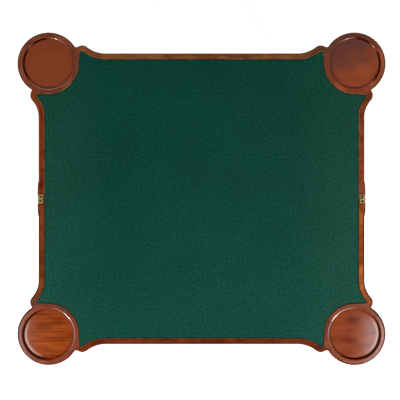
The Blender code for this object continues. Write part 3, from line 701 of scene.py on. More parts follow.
def baize_cloth(name, green):
    made, tree, shader = new_material(name)
    nap = mottled(tree, 700.0, roughness=0.6)
    tufts = mottled(tree, 170.0, roughness=0.6)
    lint = mottled(tree, 330.0, detail=2.0)
    drift = mottled(tree, 7.0)
    parts = coordinates(tree)
    sides = calc(tree, "ABSOLUTE", parts["X"])
    # Lighter towards the sides, the front and the right, darker towards the rear left
    lighter_share = calc(
        tree,
        "ADD",
        spread(tree, sides, 0.22, 0.40, 0.0, 0.58),
        spread(tree, parts["Y"], 0.33, -0.33, 0.0, 0.26),
    )
    lighter_share = calc(tree, "MULTIPLY_ADD", parts["X"], 0.38, lighter_share)
    level = times(
        tree,
        spread(tree, nap, 0.3, 0.7, 0.88, 1.12),
        spread(tree, tufts, 0.3, 0.7, 0.68, 1.32),
        spread(tree, drift, 0.3, 0.7, 0.94, 1.08),
    )
    tone = mixed(tree, lighter_share, tinted(green, 0.50, 0.90, 0.88), tinted(green, 1.9, 1.26, 1.36))
    tone = mixed(tree, 1.0, tone, level, "MULTIPLY")
    tone = mixed(tree, spread(tree, lint, 0.70, 0.80, 0.0, 0.3), tone, shade(green, 2.4))
    # Painted shade: the baize darkens towards its edge beside the wood border, partly grime
    edge = add_node(tree, "ShaderNodeAttribute", {}, attribute_name="edge").outputs["Fac"]
    grime_and_shade = spread(tree, edge, 0.05, 0.45, 0.0, 0.85)
    look = {
        "Base Color": mixed(tree, grime_and_shade, tone, tinted(green, 2.2, 0.30, 0.22)),
        "Normal": bumpy(tree, nap, 0.35, 0.0004),
        "Roughness": 1.0,
        "Specular IOR Level": 0.05,
        "Sheen Weight": 0.03,
        "Sheen Roughness": 0.5,
        "Sheen Tint": shade(green, 4.0),
    }
    feed(tree, shader, look)
    return made


def old_metal(name, dull, bright, rough, scale, seams=False):
    """Tarnished metal; if asked, blackened round the screws of the top's hinges and along the
    fold line, by greasing and by painted shade.
    """
    made, tree, shader = new_material(name)
    tarnish = mottled(tree, scale, detail=4.0, roughness=0.6)
    scuffs = cloudy(tree, placed(tree, (scale * 6, scale, scale)), detail=2.0)
    colour = mixed(tree, spread(tree, tarnish, 0.38, 0.62), (*dull, 1.0), (*bright, 1.0))
    if seams:
        mirrored = vector_calc(tree, "ABSOLUTE", object_place(tree))["Vector"]
        low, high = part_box("right_fold_top_screw")
        screw = Vector(((low.x + high.x) / 2, (low.y + high.y) / 2, PLAYING_HEIGHT))
        off = vector_calc(tree, "DISTANCE", mirrored, screw)["Value"]
        # Painted shade: darker along the fold between the two plates and in a ring round each
        # screw head, partly from greasing
        fold = spread(tree, calc(tree, "ABSOLUTE", coordinates(tree)["Y"]), 0.0012, 0.0005)
        grease_and_shade = calc(tree, "MAXIMUM", spread(tree, off, 0.0036, 0.0024), fold)
        colour = mixed(tree, times(tree, grease_and_shade, 0.85), colour, shade(dull, 0.12))
    look = {
        "Base Color": colour,
        "Roughness": spread(tree, scuffs, 0.3, 0.7, *rough),
        "Normal": bumpy(tree, scuffs, 0.15, 0.0002),
        "Metallic": 1.0,
    }
    feed(tree, shader, look)
    return made


def finish_named(name):
    """A finish that is made when a piece first asks for it."""
    found = bpy.data.materials.get(name)
    if found:
        return found
    timber = bpy.context.scene.card_table_timber
    cloth = bpy.context.scene.card_table_cloth
    if name.startswith("frame_mahogany_"):
        return polished_mahogany(name, timber.frame_wood, name[-1], (1.7, 0.4, 2.2), 0.9)
    if name.startswith("oak_"):
        return plain_wood(name, timber.oak, name[-1], (0.3, 2.1, 0.8))
    if name == "woollen_baize":
        return baize_cloth(name, cloth.green)
    if name == "tarnished_brass":
        return old_metal(
            name, linear(150, 112, 60), linear(232, 190, 126), (0.34, 0.55), 500.0
        )
    if name == "greased_brass":
        return old_metal(
            name, linear(148, 116, 58), linear(255, 228, 164), (0.34, 0.55), 300.0, True
        )
    if name == "dull_iron":
        return old_metal(name, linear(52, 42, 30), linear(92, 76, 56), (0.4, 0.6), 600.0)
    raise RuntimeError(f"there is no finish called {name}")


# Modelling with Blender's own operators


def deselect_all():
    if bpy.context.object and bpy.context.object.mode != "OBJECT":
        bpy.ops.object.mode_set(mode="OBJECT")
    bpy.ops.object.select_all(action="DESELECT")


def make_active(piece):
    deselect_all()
    piece.select_set(True)
    bpy.context.view_layer.objects.active = piece


def name_and_finish(piece, name, finishes):
    piece.name = name
    piece.data.name = name
    for finish in finishes:
        piece.data.materials.append(finish)


def outline_solid(name, layers, *finishes):
    """A closed solid through outlines of one point count, each (points, height), upwards."""
    points, height = layers[0]
    deselect_all()
    bpy.ops.mesh.primitive_circle_add(vertices=len(points), radius=1, fill_type="NGON")
    piece = bpy.context.active_object
    name_and_finish(piece, name, finishes)
    corners = piece.data.attributes.new("corner", "INT", "POINT")
    for index, (x, y) in enumerate(points):
        piece.data.vertices[index].co = (x, y, height)
        corners.data[index].value = index
    bpy.ops.object.mode_set(mode="EDIT")
    bpy.ops.mesh.select_all(action="SELECT")
    for (_, low), (after, high) in zip(layers, layers[1:]):
        bpy.ops.mesh.extrude_region_move(TRANSFORM_OT_translate={"value": (0, 0, high - low)})
        shape = bmesh.from_edit_mesh(piece.data)
        order = shape.verts.layers.int["corner"]
        for vertex in shape.verts:
            if vertex.select:
                vertex.co.xy = after[vertex[order]]
                vertex.co.z = high
        bmesh.update_edit_mesh(piece.data)
    bpy.ops.mesh.select_all(action="SELECT")
    bpy.ops.mesh.normals_make_consistent(inside=False)
    bpy.ops.object.mode_set(mode="OBJECT")
    piece.data.attributes.remove(piece.data.attributes["corner"])
    return piece


def choose_edges(piece, wanted):
    """Selects the edges for which wanted(edge) holds, and stays in edit mode."""
    make_active(piece)
    bpy.ops.object.mode_set(mode="EDIT")
    bpy.ops.mesh.select_all(action="DESELECT")
    bpy.ops.mesh.select_mode(type="EDGE")
    shape = bmesh.from_edit_mesh(piece.data)
    for edge in shape.edges:
        edge.select = bool(wanted(edge))
    shape.select_flush_mode()
    bmesh.update_edit_mesh(piece.data)


def bevel_edges(piece, wanted, width, segments, slot=-1):
    choose_edges(piece, wanted)
    bpy.ops.mesh.bevel(
        offset=width,
        segments=segments,
        affect="EDGES",
        clamp_overlap=False,
        material=slot,
    )
    bpy.ops.object.mode_set(mode="OBJECT")


def apply_modifier(piece, kind, **settings):
    make_active(piece)
    change = piece.modifiers.new(kind.lower(), kind)
    for key, value in settings.items():
        setattr(change, key, value)
    bpy.ops.object.modifier_apply(modifier=change.name)


def carve(piece, *cutters):
    """Cuts the cutters out, and gives what they bare the cutter's own finish."""
    for cutter in cutters:
        apply_modifier(
            piece,
            "BOOLEAN",
            operation="DIFFERENCE",
            solver="EXACT",
            material_mode="TRANSFER",
            object=cutter,
        )
        bpy.data.objects.remove(cutter, do_unlink=True)


def smooth(piece, angle=SHARP_ANGLE):
    make_active(piece)
    bpy.ops.object.shade_smooth_by_angle(angle=angle)


def even_shading(piece):
    """Keeps large flat faces flat beside the rounded ones."""
    smooth(piece)
    apply_modifier(piece, "WEIGHTED_NORMAL", keep_sharp=True, weight=100)


def box_solid(name, low, high, finish):
    low, high = Vector(low), Vector(high)
    deselect_all()
    bpy.ops.mesh.primitive_cube_add(size=1, location=(low + high) / 2)
    piece = bpy.context.active_object
    piece.scale = [abs(length) for length in high - low]
    bpy.ops.object.transform_apply(location=True, rotation=False, scale=True)
    name_and_finish(piece, name, [finish])
    return piece


def on_circle(centre, radius, turns):
    x, y = centre
    return [(x + radius * math.cos(turn), y + radius * math.sin(turn)) for turn in turns]


def circle_points(centre, radius, steps):
    return on_circle(centre, radius, [2 * math.pi * step / steps for step in range(steps)])


def rod(name, rows):
    """A round solid of iron along Z through rows of (radius, height), upwards."""
    layers = [(circle_points((0, 0), out, ROD_STEPS), height) for out, height in rows]
    return outline_solid(name, layers, finish_named("dull_iron"))


def set_piece(piece, slot, node):
    """Puts a finished piece in the place of its node."""
    piece.data.update()
    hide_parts(node)
    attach(piece, NODE_BODY[node])


# The outline of the top


def arc(centre, radius, start, end, steps):
    turns = [start + (end - start) * step / steps for step in range(steps + 1)]
    return on_circle(centre, radius, turns)


def ear_line(edge, tip, height, hollow, inset, past_tip):
    """Points (along, out) from the straight edge, round the ear, to past_tip beyond its tip."""
    turn = math.acos(1 - height / (EAR_RADIUS + hollow))
    start = tip - (EAR_RADIUS + hollow) * math.sin(turn)
    reach = hollow + inset
    points = []
    for step in range(EAR_STEPS + 1):
        angle = turn * step / EAR_STEPS
        points.append(
            (start + reach * math.sin(angle), edge + hollow - reach * math.cos(angle))
        )
    rounding = EAR_RADIUS - inset
    # The ear turns back by 45 degrees at most
    last = -math.asin(min(past_tip / rounding, math.sqrt(0.5)))
    for step in range(1, EAR_STEPS + 1):
        angle = turn + (last - turn) * step / EAR_STEPS
        out = edge + height - EAR_RADIUS + rounding * math.cos(angle)
        points.append((tip - rounding * math.sin(angle), out))
    return points


def side_ear(inset, past_tip):
    line = ear_line(SIDE_EDGE, SIDE_EAR_TIP, SIDE_EAR_HEIGHT, SIDE_HOLLOW, inset, past_tip)
    return [(out, along) for along, out in line]


def front_ear(inset, past_tip):
    return ear_line(
        FRONT_EDGE, FRONT_EAR_TIP, FRONT_EAR_HEIGHT, FRONT_HOLLOW, inset, past_tip
    )


def leaf_quarter():
    """The rim on the +X +Y side, from the fold line round to the long edge."""
    past_tip = math.sqrt(EAR_RADIUS**2 - (EAR_RADIUS - NECK_DROP) ** 2)
    side_neck = SIDE_EDGE + SIDE_EAR_HEIGHT - NECK_DROP
    front_neck = FRONT_EDGE + FRONT_EAR_HEIGHT - NECK_DROP
    first = -math.acos((side_neck - TURRET_X) / TURRET_RADIUS)
    last = math.pi - math.asin((front_neck - TURRET_Y) / TURRET_RADIUS)
    points = [(HINGE_BLOCK_EDGE, FOLD_GAP / 2)]
    for step in range(ROUND_STEPS + 1):
        share = step / ROUND_STEPS
        swell = HINGE_BLOCK_SWELL * (1 + math.cos(math.pi * share)) / 2
        points.append((SIDE_EDGE + swell, HINGE_BLOCK_LENGTH + HINGE_BLOCK_EASE * share))
    points += side_ear(0, past_tip)
    points += arc((TURRET_X, TURRET_Y), TURRET_RADIUS, first, last, TURRET_STEPS)
    return points + front_ear(0, past_tip)[::-1]


def baize_quarter(inset, fold_end):
    """The edge of the baize on the +X +Y side, set in from the rim."""
    round_turret = TURRET_RADIUS - BAIZE_TURRET_EASE + inset - BAIZE_BORDER
    side_limit = TURRET_Y - round_turret
    front_limit = TURRET_X - round_turret
    side = side_ear(inset, side_limit - BAIZE_CORNER_DRAW - SIDE_EAR_TIP)
    front = front_ear(inset, front_limit - BAIZE_CORNER_DRAW - FRONT_EAR_TIP)
    inner = arc(
        (TURRET_X, TURRET_Y), round_turret, -math.pi / 2, -math.pi, TURRET_STEPS // 2
    )
    corner = (front_limit - BAIZE_CORNER_DRAW, front[-1][1])
    return [(SIDE_EDGE - inset, fold_end)] + side + inner + [corner] + front[::-1]


def both_sides(quarter, side):
    right = [(x, side * y) for x, y in quarter]
    return right + [(-x, y) for x, y in reversed(right)]


def whole_cloth(inset):
    """The baize's outline across both leaves, with no corners on the fold line."""
    quarter = baize_quarter(inset, 0)[1:]
    rear = quarter + [(-x, y) for x, y in reversed(quarter)]
    return rear + [(-x, -y) for x, y in rear]


def flat_area(points):
    pairs = zip(points, points[1:] + points[:1])
    return abs(sum(a[0] * b[1] - b[0] * a[1] for a, b in pairs)) / 2


# The leaves


def wax_and_shade_reach(corner, x, y):
    """How far from the stand's middle the wall's dark finish of wax and painted shade reaches on
    the bearing of x, y.
    """
    bearing = math.degrees(math.atan2(y, x))
    for turn, half, soft, spill in WAX_SHADE_SECTORS[corner]:
        if abs((bearing - turn + 180) % 360 - 180) < half + soft:
            return WAX_SHADE_END + spill
    return WAX_SHADE_END


def well_cutter(corner, lip, *finishes):
    """What is turned out of a leaf for a candle stand, with a cove and a rounded lip.

    Its finishes are those of the floor, of the wall darkened by wax and painted shade, and of
    the lip.
    """
    centre = TURRETS[corner]
    floor = PLAYING_HEIGHT - WELL_DEPTH
    cove = WELL_DEPTH - lip
    profile = [(WELL_RADIUS - WELL_COVE, floor)]
    for step in range(1, COVE_STEPS + 1):
        turn = math.pi / 2 * step / COVE_STEPS
        out = WELL_RADIUS - WELL_COVE + WELL_COVE * math.sin(turn)
        profile.append((out, floor + cove - cove * math.cos(turn)))
    width = LIP_WIDTH_TO_DEPTH * lip
    for step in range(1, COVE_STEPS + 1):
        turn = math.pi / 2 * step / COVE_STEPS
        out = WELL_RADIUS + width - width * math.cos(turn)
        profile.append((out, PLAYING_HEIGHT - lip + lip * math.sin(turn)))
    profile.append((WELL_RADIUS + width, PLAYING_HEIGHT + OVERRUN))
    layers = [(circle_points(centre, out, WELL_STEPS), height) for out, height in profile]
    cutter = outline_solid(f"{corner}_well", layers, *finishes)
    for face in cutter.data.polygons:
        x, y = face.center.x - centre[0], face.center.y - centre[1]
        out = math.hypot(x, y)
        face.material_index = (out > WAX_SHADE_START) + (out > wax_and_shade_reach(corner, x, y))
    return cutter


def recess_cutter(name, side, arris_finish, floor_finish):
    """What is cut away for the baize, with a small arris at the top that shows wear and a
    painted highlight.
    """

    def outline(inset):
        return both_sides(baize_quarter(inset, -OVERRUN), side)

    inset = BAIZE_BORDER
    layers = [
        (outline(inset), PLAYING_HEIGHT - BAIZE_RECESS),
        (outline(inset), PLAYING_HEIGHT - ARRIS_DROP),
        (outline(inset - ARRIS_WIDTH), PLAYING_HEIGHT),
        (outline(inset - ARRIS_WIDTH), PLAYING_HEIGHT + OVERRUN),
    ]
    cutter = outline_solid(name, layers, floor_finish, arris_finish)
    for face in cutter.data.polygons:
        sloped = 0.2 < abs(face.normal.z) < 0.99
        face.material_index = 1 if sloped else 0
    return cutter


def hinge_housings(name, end, side, finish):
    """The housings in a leaf's corner for its half of the top hinge."""
    across_fold = (end * (HINGE_BLOCK_EDGE + OVERRUN), -side * OVERRUN)
    lug = (
        end * (HINGE_BLOCK_EDGE - HINGE_WIDTH - CLEARANCE),
        side * (HINGE_REACH + CLEARANCE),
        PLAYING_HEIGHT + OVERRUN,
    )
    flange = (
        end * (HINGE_BLOCK_EDGE - FLANGE_THICKNESS - CLEARANCE),
        side * (FLANGE_LENGTH + CLEARANCE),
        PLAYING_HEIGHT - FLANGE_COVER,
    )
    rows = (("lug", HINGE_LUG, lug), ("flange", FLANGE_HEIGHT, flange))
    for word, depth, far in rows:
        near = (*across_fold, PLAYING_HEIGHT - depth - CLEARANCE)
        yield box_solid(f"{name}_{word}_housing", near, far, finish)


def at_flat_face(edge):
    """Whether an edge is between a side and the top or the underside."""
    return sum(abs(face.normal.z) > 0.7 for face in edge.link_faces) == 1


def rim_edge(side):
    """A test of whether an edge is on the rounded part of the rim, past the hinge blocks."""

    def wanted(edge):
        beyond = [side * end.co.y > HINGE_BLOCK_LENGTH + TOLERANCE for end in edge.verts]
        return at_flat_face(edge) and any(beyond)

    return wanted


def make_leaf(word, side, colour, stands, shift):
    """One leaf: side is +1 for the folding leaf and -1 for the fixed one."""
    shape = bpy.context.scene.card_table_shape
    outline = both_sides(leaf_quarter(), side)
    top = leaf_mahogany(f"{word}_mahogany", colour, shift, side)
    rim = rim_wax_and_shade(f"{word}_waxed_edge", colour, "x", shift)
    # Closed, the folding leaf shows its underside as the table's top, so that side is polished
    below = polished_mahogany if side > 0 else plain_wood
    underside = below(f"{word}_underside", colour, "x", shift)
    layers = [(outline, LEAF_UNDERSIDE), (outline, PLAYING_HEIGHT)]
    leaf = outline_solid(f"{word}_top", layers, top, rim, underside)
    for face in leaf.data.polygons:
        face.material_index = 2 if face.normal.z < -0.9 else 0
    bevel_edges(leaf, rim_edge(side), shape.top_round, ROUND_STEPS, 1)
    arris = arris_wear_and_highlight(f"{word}_worn_arris", colour)
    # Painted shade: the bare wood of the recess floor and wall and of the hinge housings is
    # darkened to 0.35 of the leaf's colour
    bare = plain_wood(f"{word}_bare_wood", [channel * 0.35 for channel in colour], "x", shift)
    carve(leaf, recess_cutter(f"{word}_recess", side, arris, bare))
    for (hand, end), (corner, stand) in zip(HANDS, stands):
        figure = (stand, corner, (shift[0] + end, shift[1], 0.3))
        finish = dished_mahogany(f"{corner}_stand_mahogany", *figure)
        waxed = dished_mahogany(f"{corner}_stand_wax", *figure, waxed=True)
        carve(leaf, well_cutter(corner, shape.lip_round, finish, waxed, top))
        carve(leaf, *hinge_housings(f"{word}_{hand}", end, side, bare))
    even_shading(leaf)
    set_piece(leaf, "mahogany", word)


class CARDTABLE_OT_leaves(bpy.types.Operator):
    """Makes the fixed leaf and the folding leaf of the top"""

    bl_idname = "cardtable.leaves"
    bl_label = "Make the leaves"

    def execute(self, context):
        timber = context.scene.card_table_timber
        rows = (
            ("fixed_leaf", -1, "front", (0.21, 0.37, 0.0)),
            ("fold_leaf", 1, "rear", (1.43, 0.91, 0.0)),
        )
        for word, side, place, shift in rows:
            corners = [f"{place}_{hand}" for hand, _ in HANDS]
            stands = [(corner, getattr(timber, f"{corner}_stand")) for corner in corners]
            make_leaf(word, side, getattr(timber, word), stands, shift)
        return {"FINISHED"}


# The baize


def cut_across(piece, places, direction):
    """Cuts the whole mesh along lines, without taking anything away."""
    make_active(piece)
    bpy.ops.object.mode_set(mode="EDIT")
    for place in places:
        bpy.ops.mesh.select_all(action="SELECT")
        point = [step * place for step in direction]
        bpy.ops.mesh.bisect(plane_co=point, plane_no=direction)
    bpy.ops.object.mode_set(mode="OBJECT")


class CARDTABLE_OT_baize(bpy.types.Operator):
    """Lays one baize in the recesses of both leaves"""

    bl_idname = "cardtable.baize"
    bl_label = "Lay the baize"

    def execute(self, context):
        floor = PLAYING_HEIGHT - BAIZE_RECESS + CLEARANCE
        top = floor + context.scene.card_table_cloth.thickness
        outline = whole_cloth(BAIZE_BORDER + CLEARANCE)
        layers = [
            (outline, floor),
            (outline, top - BAIZE_EASE),
            (whole_cloth(BAIZE_BORDER + CLEARANCE + BAIZE_EASE), top),
            (whole_cloth(BAIZE_BORDER + CLEARANCE + EDGE_GRIME_AND_SHADE), top),
        ]
        cloth = outline_solid("baize", layers, finish_named("woollen_baize"))
        edge = cloth.data.attributes.new("edge", "FLOAT", "POINT")
        edge.data.foreach_set("value", [1.0] * len(cloth.data.vertices))
        middle = max(cloth.data.polygons, key=lambda face: face.normal.z * face.area)
        for corner in middle.vertices:
            edge.data[corner].value = 0.0
        cut_across(cloth, [CLOTH_GRID * step for step in range(-16, 17)], (1, 0, 0))
        bands = [CLOTH_GRID * step for step in range(-15, 16) if step]
        bands += [FOLD_GRID * step for step in range(-10, 11)]
        cut_across(cloth, bands, (0, 1, 0))
        for vertex in cloth.data.vertices:
            if vertex.co.z > top - BAIZE_EASE / 2:
                vertex.co.z += NAP_HEIGHT * noise.noise(vertex.co * 17)
        smooth(cloth, math.radians(40))
        flat_area(outline)
        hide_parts("fixed_baize", "fold_baize")
        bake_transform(cloth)
        return {"FINISHED"}


# The legs


def leg_stations():
    """The leg's sections with smooth ones between."""
    rows = LEG_SECTIONS
    stations = []
    for index in range(len(rows) - 1):
        before = rows[max(index - 1, 0)]
        after = rows[min(index + 2, len(rows) - 1)]
        columns = list(zip(before, rows[index], rows[index + 1], after))
        for step in range(LEG_LEVELS_BETWEEN):
            stations.append([glide(*column, step / LEG_LEVELS_BETWEEN) for column in columns])
    stations.append(rows[-1])
    return stations


def glide(before, low, high, after, share):
    """A smooth value between low and high that leads on to the ones beside them."""
    slope_low = (high - before) / 2
    slope_high = (after - low) / 2
    square, cube = share**2, share**3
    return (
        (2 * cube - 3 * square + 1) * low
        + (cube - 2 * square + share) * slope_low
        + (3 * square - 2 * cube) * high
        + (cube - square) * slope_high
    )


def leg_ring(centre, half, square):
    ring = []
    for step in range(LEG_STEPS):
        turn = 2 * math.pi * step / LEG_STEPS
        x, y = math.cos(turn), math.sin(turn)
        stretch = 1 - square + square / max(abs(x), abs(y))
        ring.append((centre[0] + half * stretch * x, centre[1] + half * stretch * y))
    return ring


def make_leg(node, x, y, knee, stile, top):
    knee_half, share, knee_square = knee
    lean = (math.copysign(math.sqrt(0.5), x), math.copysign(math.sqrt(0.5), y))
    layers = []
    for height, half, out, square in leg_stations():
        centre = (x + lean[0] * out * KNEE_SPREAD, y + lean[1] * out * KNEE_SPREAD)
        layers.append((leg_ring(centre, half * knee_half, square), height * KNEE_TOP))
    half = share * knee_half
    layers += [
        (leg_ring((x, y), half, knee_square), KNEE_TOP - KNEE_EASE),
        (leg_ring((x, y), half - KNEE_EASE, knee_square), KNEE_TOP),
        (leg_ring((x, y), stile / 2, 1), KNEE_TOP),
        (leg_ring((x, y), stile / 2, 1), top),
    ]
    leg = outline_solid(f"{node}_turned", layers, finish_named("frame_mahogany_z"))
    smooth(leg)
    set_piece(leg, "mahogany", node)


class CARDTABLE_OT_legs(bpy.types.Operator):
    """Shapes the four cabriole legs, each in one piece with its stile"""

    bl_idname = "cardtable.legs"
    bl_label = "Shape the legs"

    def execute(self, context):
        rows = (
            ("front", TURRET_X, -TURRET_Y, FRONT_KNEE, FRONT_STILE, FRIEZE_TOP),
            ("rear", REAR_LEG_X, REAR_LEG_Y, REAR_KNEE, REAR_STILE, MOVING_TOP),
        )
        for hand, end in HANDS:
            for place, x, *rest in rows:
                make_leg(f"{place}_{hand}_leg", end * x, *rest)
        return {"FINISHED"}


# The frame


def refined(node, finish, slot, width, trim=None):
    """A node's own shape, less the box trim, with its arrises eased, to take its place."""
    source = frame["nodes"][node]
    piece = source.copy()
    piece.data = source.data.copy()
    for key in list(piece.keys()):
        del piece[key]
    piece.parent = None
    bpy.context.scene.collection.objects.link(piece)
    make_active(piece)
    bpy.ops.object.mode_set(mode="EDIT")
    bpy.ops.mesh.select_all(action="SELECT")
    bpy.ops.mesh.remove_doubles(threshold=MERGE_DISTANCE)
    bpy.ops.mesh.dissolve_limited(angle_limit=math.radians(1))
    bpy.ops.object.mode_set(mode="OBJECT")
    piece.data.materials.clear()
    name_and_finish(piece, f"{node}_eased", [finish_named(finish)])
    if trim:
        carve(piece, box_solid("trim", *trim, finish_named(finish)))
    sharp = {"limit_method": "ANGLE", "angle_limit": math.radians(40)}
    apply_modifier(piece, "BEVEL", width=width, segments=2, **sharp)
    smooth(piece)
    set_piece(piece, slot, node)


class CARDTABLE_OT_frame(bpy.types.Operator):
    """Finishes the rails, flaps, turret blocks and glue blocks"""

    bl_idname = "cardtable.frame"
    bl_label = "Finish the frame"

    def execute(self, context):
        width = context.scene.card_table_shape.rail_round
        for node in ("front_rail", "back_rail"):
            refined(node, "frame_mahogany_x", "mahogany", width)
        for hand, _ in HANDS:
            refined(f"{hand}_side_rail", "frame_mahogany_y", "mahogany", width)
            for place in ("front", "rear"):
                refined(f"{hand}_{place}_flap", "frame_mahogany_y", "mahogany", width)
            refined(f"{hand}_side_glue_block", "oak_y", "secondary_oak", width)
            refined(f"front_{hand}_glue_block", "oak_x", "secondary_oak", width)
            refined(f"rear_{hand}_corner_block", "oak_z", "secondary_oak", width)
        refined("inner_back_rail", "oak_x", "secondary_oak", width)
        for hand, end in HANDS:
            self.turret_block(hand, end, width)
        return {"FINISHED"}

    def turret_block(self, hand, end, width):
        """The round of the frieze under a front turret, round three quarters of the stile."""
        radius = TURRET_BLOCK_RADIUS
        rail_x = SIDE_RAIL_FACE + CLEARANCE - TURRET_X
        rail_y = -FRONT_RAIL_FACE - CLEARANCE + TURRET_Y
        stile = FRONT_STILE / 2 + CLEARANCE
        points = arc(
            (0, 0),
            radius,
            math.acos(rail_x / radius),
            -math.pi + math.asin(-rail_y / radius),
            TURRET_STEPS,
        )
        points += [(-stile, rail_y), (-stile, -stile), (stile, -stile), (stile, stile)]
        points.append((rail_x, stile))
        outline = [(end * (TURRET_X + x), -TURRET_Y + y) for x, y in points]
        layers = [(outline, FRIEZE_BOTTOM), (outline, FRIEZE_TOP)]
        wood = finish_named("frame_mahogany_z")
        block = outline_solid(f"{hand}_turret_block_rounded", layers, wood)
        bevel_edges(block, at_flat_face, width, 2)
        even_shading(block)
        set_piece(block, "mahogany", f"{hand}_turret_block")


# The hinges


def slotted_screw(node, slot_turn):
    """A countersunk screw with a slot across its head, where the frame has its screw."""
    low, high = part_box(node)
    size = high - low
    sideways = size.x > size.z
    length = size.x if sideways else size.z
    rows = (
        (SCREW_SHANK / 5, -length),
        (SCREW_SHANK, SCREW_POINT - length),
        (SCREW_SHANK, -SCREW_NECK),
        (SCREW_HEAD, -SCREW_RIM),
        (SCREW_HEAD, 0),
    )
    piece = rod(f"{node}_slotted", rows)
    near = (-SCREW_HEAD - OVERRUN, -SLOT_WIDTH / 2, -SLOT_DEPTH)
    far = (SCREW_HEAD + OVERRUN, SLOT_WIDTH / 2, OVERRUN)
    slot = box_solid("slot", near, far, finish_named("dull_iron"))
    for vertex in slot.data.vertices:
        x, y = vertex.co.x, vertex.co.y
        vertex.co.x = x * math.cos(slot_turn) - y * math.sin(slot_turn)
        vertex.co.y = x * math.sin(slot_turn) + y * math.cos(slot_turn)
    carve(piece, slot)
    middle = (low + high) / 2
    end = math.copysign(1, middle.x)
    for vertex in piece.data.vertices:
        x, y, z = vertex.co
        if sideways:
            outer = high.x if end > 0 else low.x
            vertex.co = (outer + end * z, middle.y + end * x, middle.z + y)
        else:
            vertex.co = (middle.x + x, middle.y + y, high.z + z)
    smooth(piece)
    set_piece(piece, "dark_iron", node)


def round_pin(node):
    """A pin along X or Z, turned round in the place of the frame's."""
    low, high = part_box(node)
    size = high - low
    upright = size.z > size.x
    radius = min(size) / 2
    length = size.z if upright else size.x
    ease = METAL_EASE
    rows = ((radius - ease, 0), (radius, ease), (radius, length - ease), (radius - ease, length))
    piece = rod(f"{node}_round", rows)
    middle = (low + high) / 2
    for vertex in piece.data.vertices:
        x, y, z = vertex.co
        if upright:
            vertex.co = (middle.x + x, middle.y + y, low.z + z)
        else:
            vertex.co = (low.x + z, middle.y + x, middle.z + y)
    smooth(piece)
    set_piece(piece, "dark_iron", node)


class CARDTABLE_OT_hinges(bpy.types.Operator):
    """Fits the brass hinges of the top and of the flaps, with their pins and screws"""

    bl_idname = "cardtable.hinges"
    bl_label = "Fit the hinges"

    def execute(self, context):
        brass = ("aged_brass", METAL_EASE)
        for hand, end in HANDS:
            for part, side, top_slot in (("fixed", -1, 1.9), ("fold", 1, 0.5)):
                # The flange keeps below the wood that covers it
                above_flange = (
                    (
                        end * (HINGE_BLOCK_EDGE - 2 * OVERRUN),
                        side * (HINGE_REACH + METAL_EASE),
                        PLAYING_HEIGHT - FLANGE_COVER - CLEARANCE,
                    ),
                    (
                        end * (HINGE_BLOCK_EDGE + OVERRUN),
                        side * (HINGE_BLOCK_LENGTH + OVERRUN),
                        PLAYING_HEIGHT + OVERRUN,
                    ),
                )
                plate = f"{hand}_{part}_hinge_plate"
                refined(plate, "greased_brass", *brass, above_flange)
                slotted_screw(f"{hand}_{part}_top_screw", top_slot)
                slotted_screw(f"{hand}_{part}_side_screw", 1.1)
            round_pin(f"{hand}_top_hinge_pin")
            for place in ("front", "middle", "rear"):
                for half in ("front", "rear"):
                    refined(f"{hand}_{place}_hinge_{half}_leaf", "tarnished_brass", *brass)
                round_pin(f"{hand}_{place}_hinge_pin")
        return {"FINISHED"}


# The stage


def floor_material():
    """White paper: it shows the shadow, and the camera sees the rest of it as white."""
    made, tree, shader = new_material("white_paper")
    path = add_node(tree, "ShaderNodeLightPath", {}).outputs
    seen = calc(tree, "MAXIMUM", path["Is Camera Ray"], path["Is Glossy Ray"])
    seen = calc(tree, "MAXIMUM", seen, path["Is Transmission Ray"])
    beyond = spread(tree, distance_from(tree, 0, 0), 1.0, 2.2, 0.68, 1.0)
    look = {
        "Base Color": (0.88, 0.88, 0.88, 1.0),
        "Roughness": 0.9,
        "Specular IOR Level": 0.0,
        "Emission Color": (1.0, 1.0, 1.0, 1.0),
        "Emission Strength": times(tree, seen, beyond),
    }
    feed(tree, shader, look)
    return made


def studio_world():
    """Bright at the horizon and dim overhead, as a room with a dark ceiling is."""
    world = bpy.data.worlds.new("studio")
    world.use_nodes = True
    tree = world.node_tree
    place = add_node(tree, "ShaderNodeTexCoord", {}).outputs["Generated"]
    height = add_node(tree, "ShaderNodeSeparateXYZ", {"Vector": place}).outputs["Z"]
    strength = spread(tree, height, 0.15, 0.60, 1.0, 0.06)
    look = {"Color": (1.0, 1.0, 1.0, 1.0), "Strength": strength}
    feed(tree, tree.nodes["Background"], look)
    bpy.context.scene.world = world


def add_lamp(name, place, degrees, power, size):
    """A square softbox that faces down, then turned by degrees about each axis."""
    data = bpy.data.lights.new(name, "AREA")
    data.shape = "SQUARE"
    data.size = size
    data.energy = power
    lamp = bpy.data.objects.new(name, data)
    lamp.location = place
    lamp.rotation_euler = [math.radians(turn) for turn in degrees]
    bpy.context.scene.collection.objects.link(lamp)


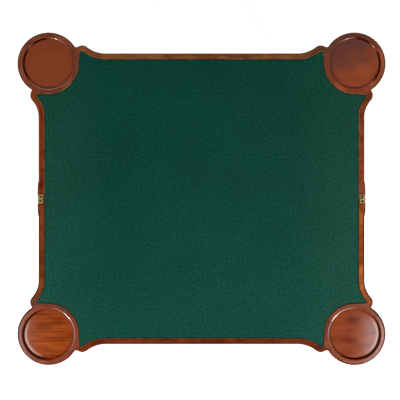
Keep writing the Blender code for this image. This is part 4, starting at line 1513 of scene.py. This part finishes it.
class CARDTABLE_OT_stage(bpy.types.Operator):
    """Sets the floor, the lamps, the world and the camera"""

    bl_idname = "cardtable.stage"
    bl_label = "Set the stage"

    def execute(self, context):
        studio = context.scene.card_table_studio
        deselect_all()
        bpy.ops.mesh.primitive_plane_add(size=60, location=(0, 0, 0))
        floor = bpy.context.active_object
        floor.name = "floor"
        floor.data.materials.append(floor_material())
        floor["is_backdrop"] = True
        studio_world()
        for name, place, degrees, share, size in LAMPS:
            add_lamp(name, place, degrees, studio.lamp_power * share, size)
        data = bpy.data.cameras.new("camera")
        data.sensor_width = 36.0
        data.lens = data.sensor_width * studio.camera_height / studio.picture_width
        data.clip_end = 100
        camera = bpy.data.objects.new("camera", data)
        aside, back = (shift * studio.picture_width for shift in CAMERA_SHIFT)
        camera.location = (aside, back, PLAYING_HEIGHT + studio.camera_height)
        context.scene.collection.objects.link(camera)
        context.scene.camera = camera
        context.scene.view_settings.view_transform = "Standard"
        return {"FINISHED"}


class CARDTABLE_PT_panel(bpy.types.Panel):
    """Lists the pieces of the card table and their settings"""

    bl_label = "Card table"
    bl_idname = "CARDTABLE_PT_panel"
    bl_space_type = "VIEW_3D"
    bl_region_type = "UI"
    bl_category = "Card table"

    def draw(self, context):
        layout = self.layout
        for group in SETTINGS:
            box = layout.box()
            held = getattr(context.scene, group)
            for name in held.__annotations__:
                box.prop(held, name)
        for step in STEPS:
            layout.operator(step.bl_idname)


SETTINGS = {
    "card_table_timber": CardTableTimber,
    "card_table_cloth": CardTableCloth,
    "card_table_shape": CardTableShape,
    "card_table_studio": CardTableStudio,
}
STEPS = (
    CARDTABLE_OT_leaves,
    CARDTABLE_OT_baize,
    CARDTABLE_OT_legs,
    CARDTABLE_OT_frame,
    CARDTABLE_OT_hinges,
    CARDTABLE_OT_stage,
)


def register():
    for name, group in SETTINGS.items():
        bpy.utils.register_class(group)
        setattr(bpy.types.Scene, name, bpy.props.PointerProperty(type=group))
    for step in STEPS:
        bpy.utils.register_class(step)
    bpy.utils.register_class(CARDTABLE_PT_panel)


def unregister():
    bpy.utils.unregister_class(CARDTABLE_PT_panel)
    for step in reversed(STEPS):
        bpy.utils.unregister_class(step)
    for name, group in SETTINGS.items():
        delattr(bpy.types.Scene, name)
        bpy.utils.unregister_class(group)


def main():
    register()
    for step in STEPS:
        family, word = step.bl_idname.split(".")
        getattr(getattr(bpy.ops, family), word)()
    sizes = {"cad": CAD_BOX, "scene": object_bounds()}
    {name: [list(corner) for corner in box] for name, box in sizes.items()}


if __name__ == "__main__":
    main()
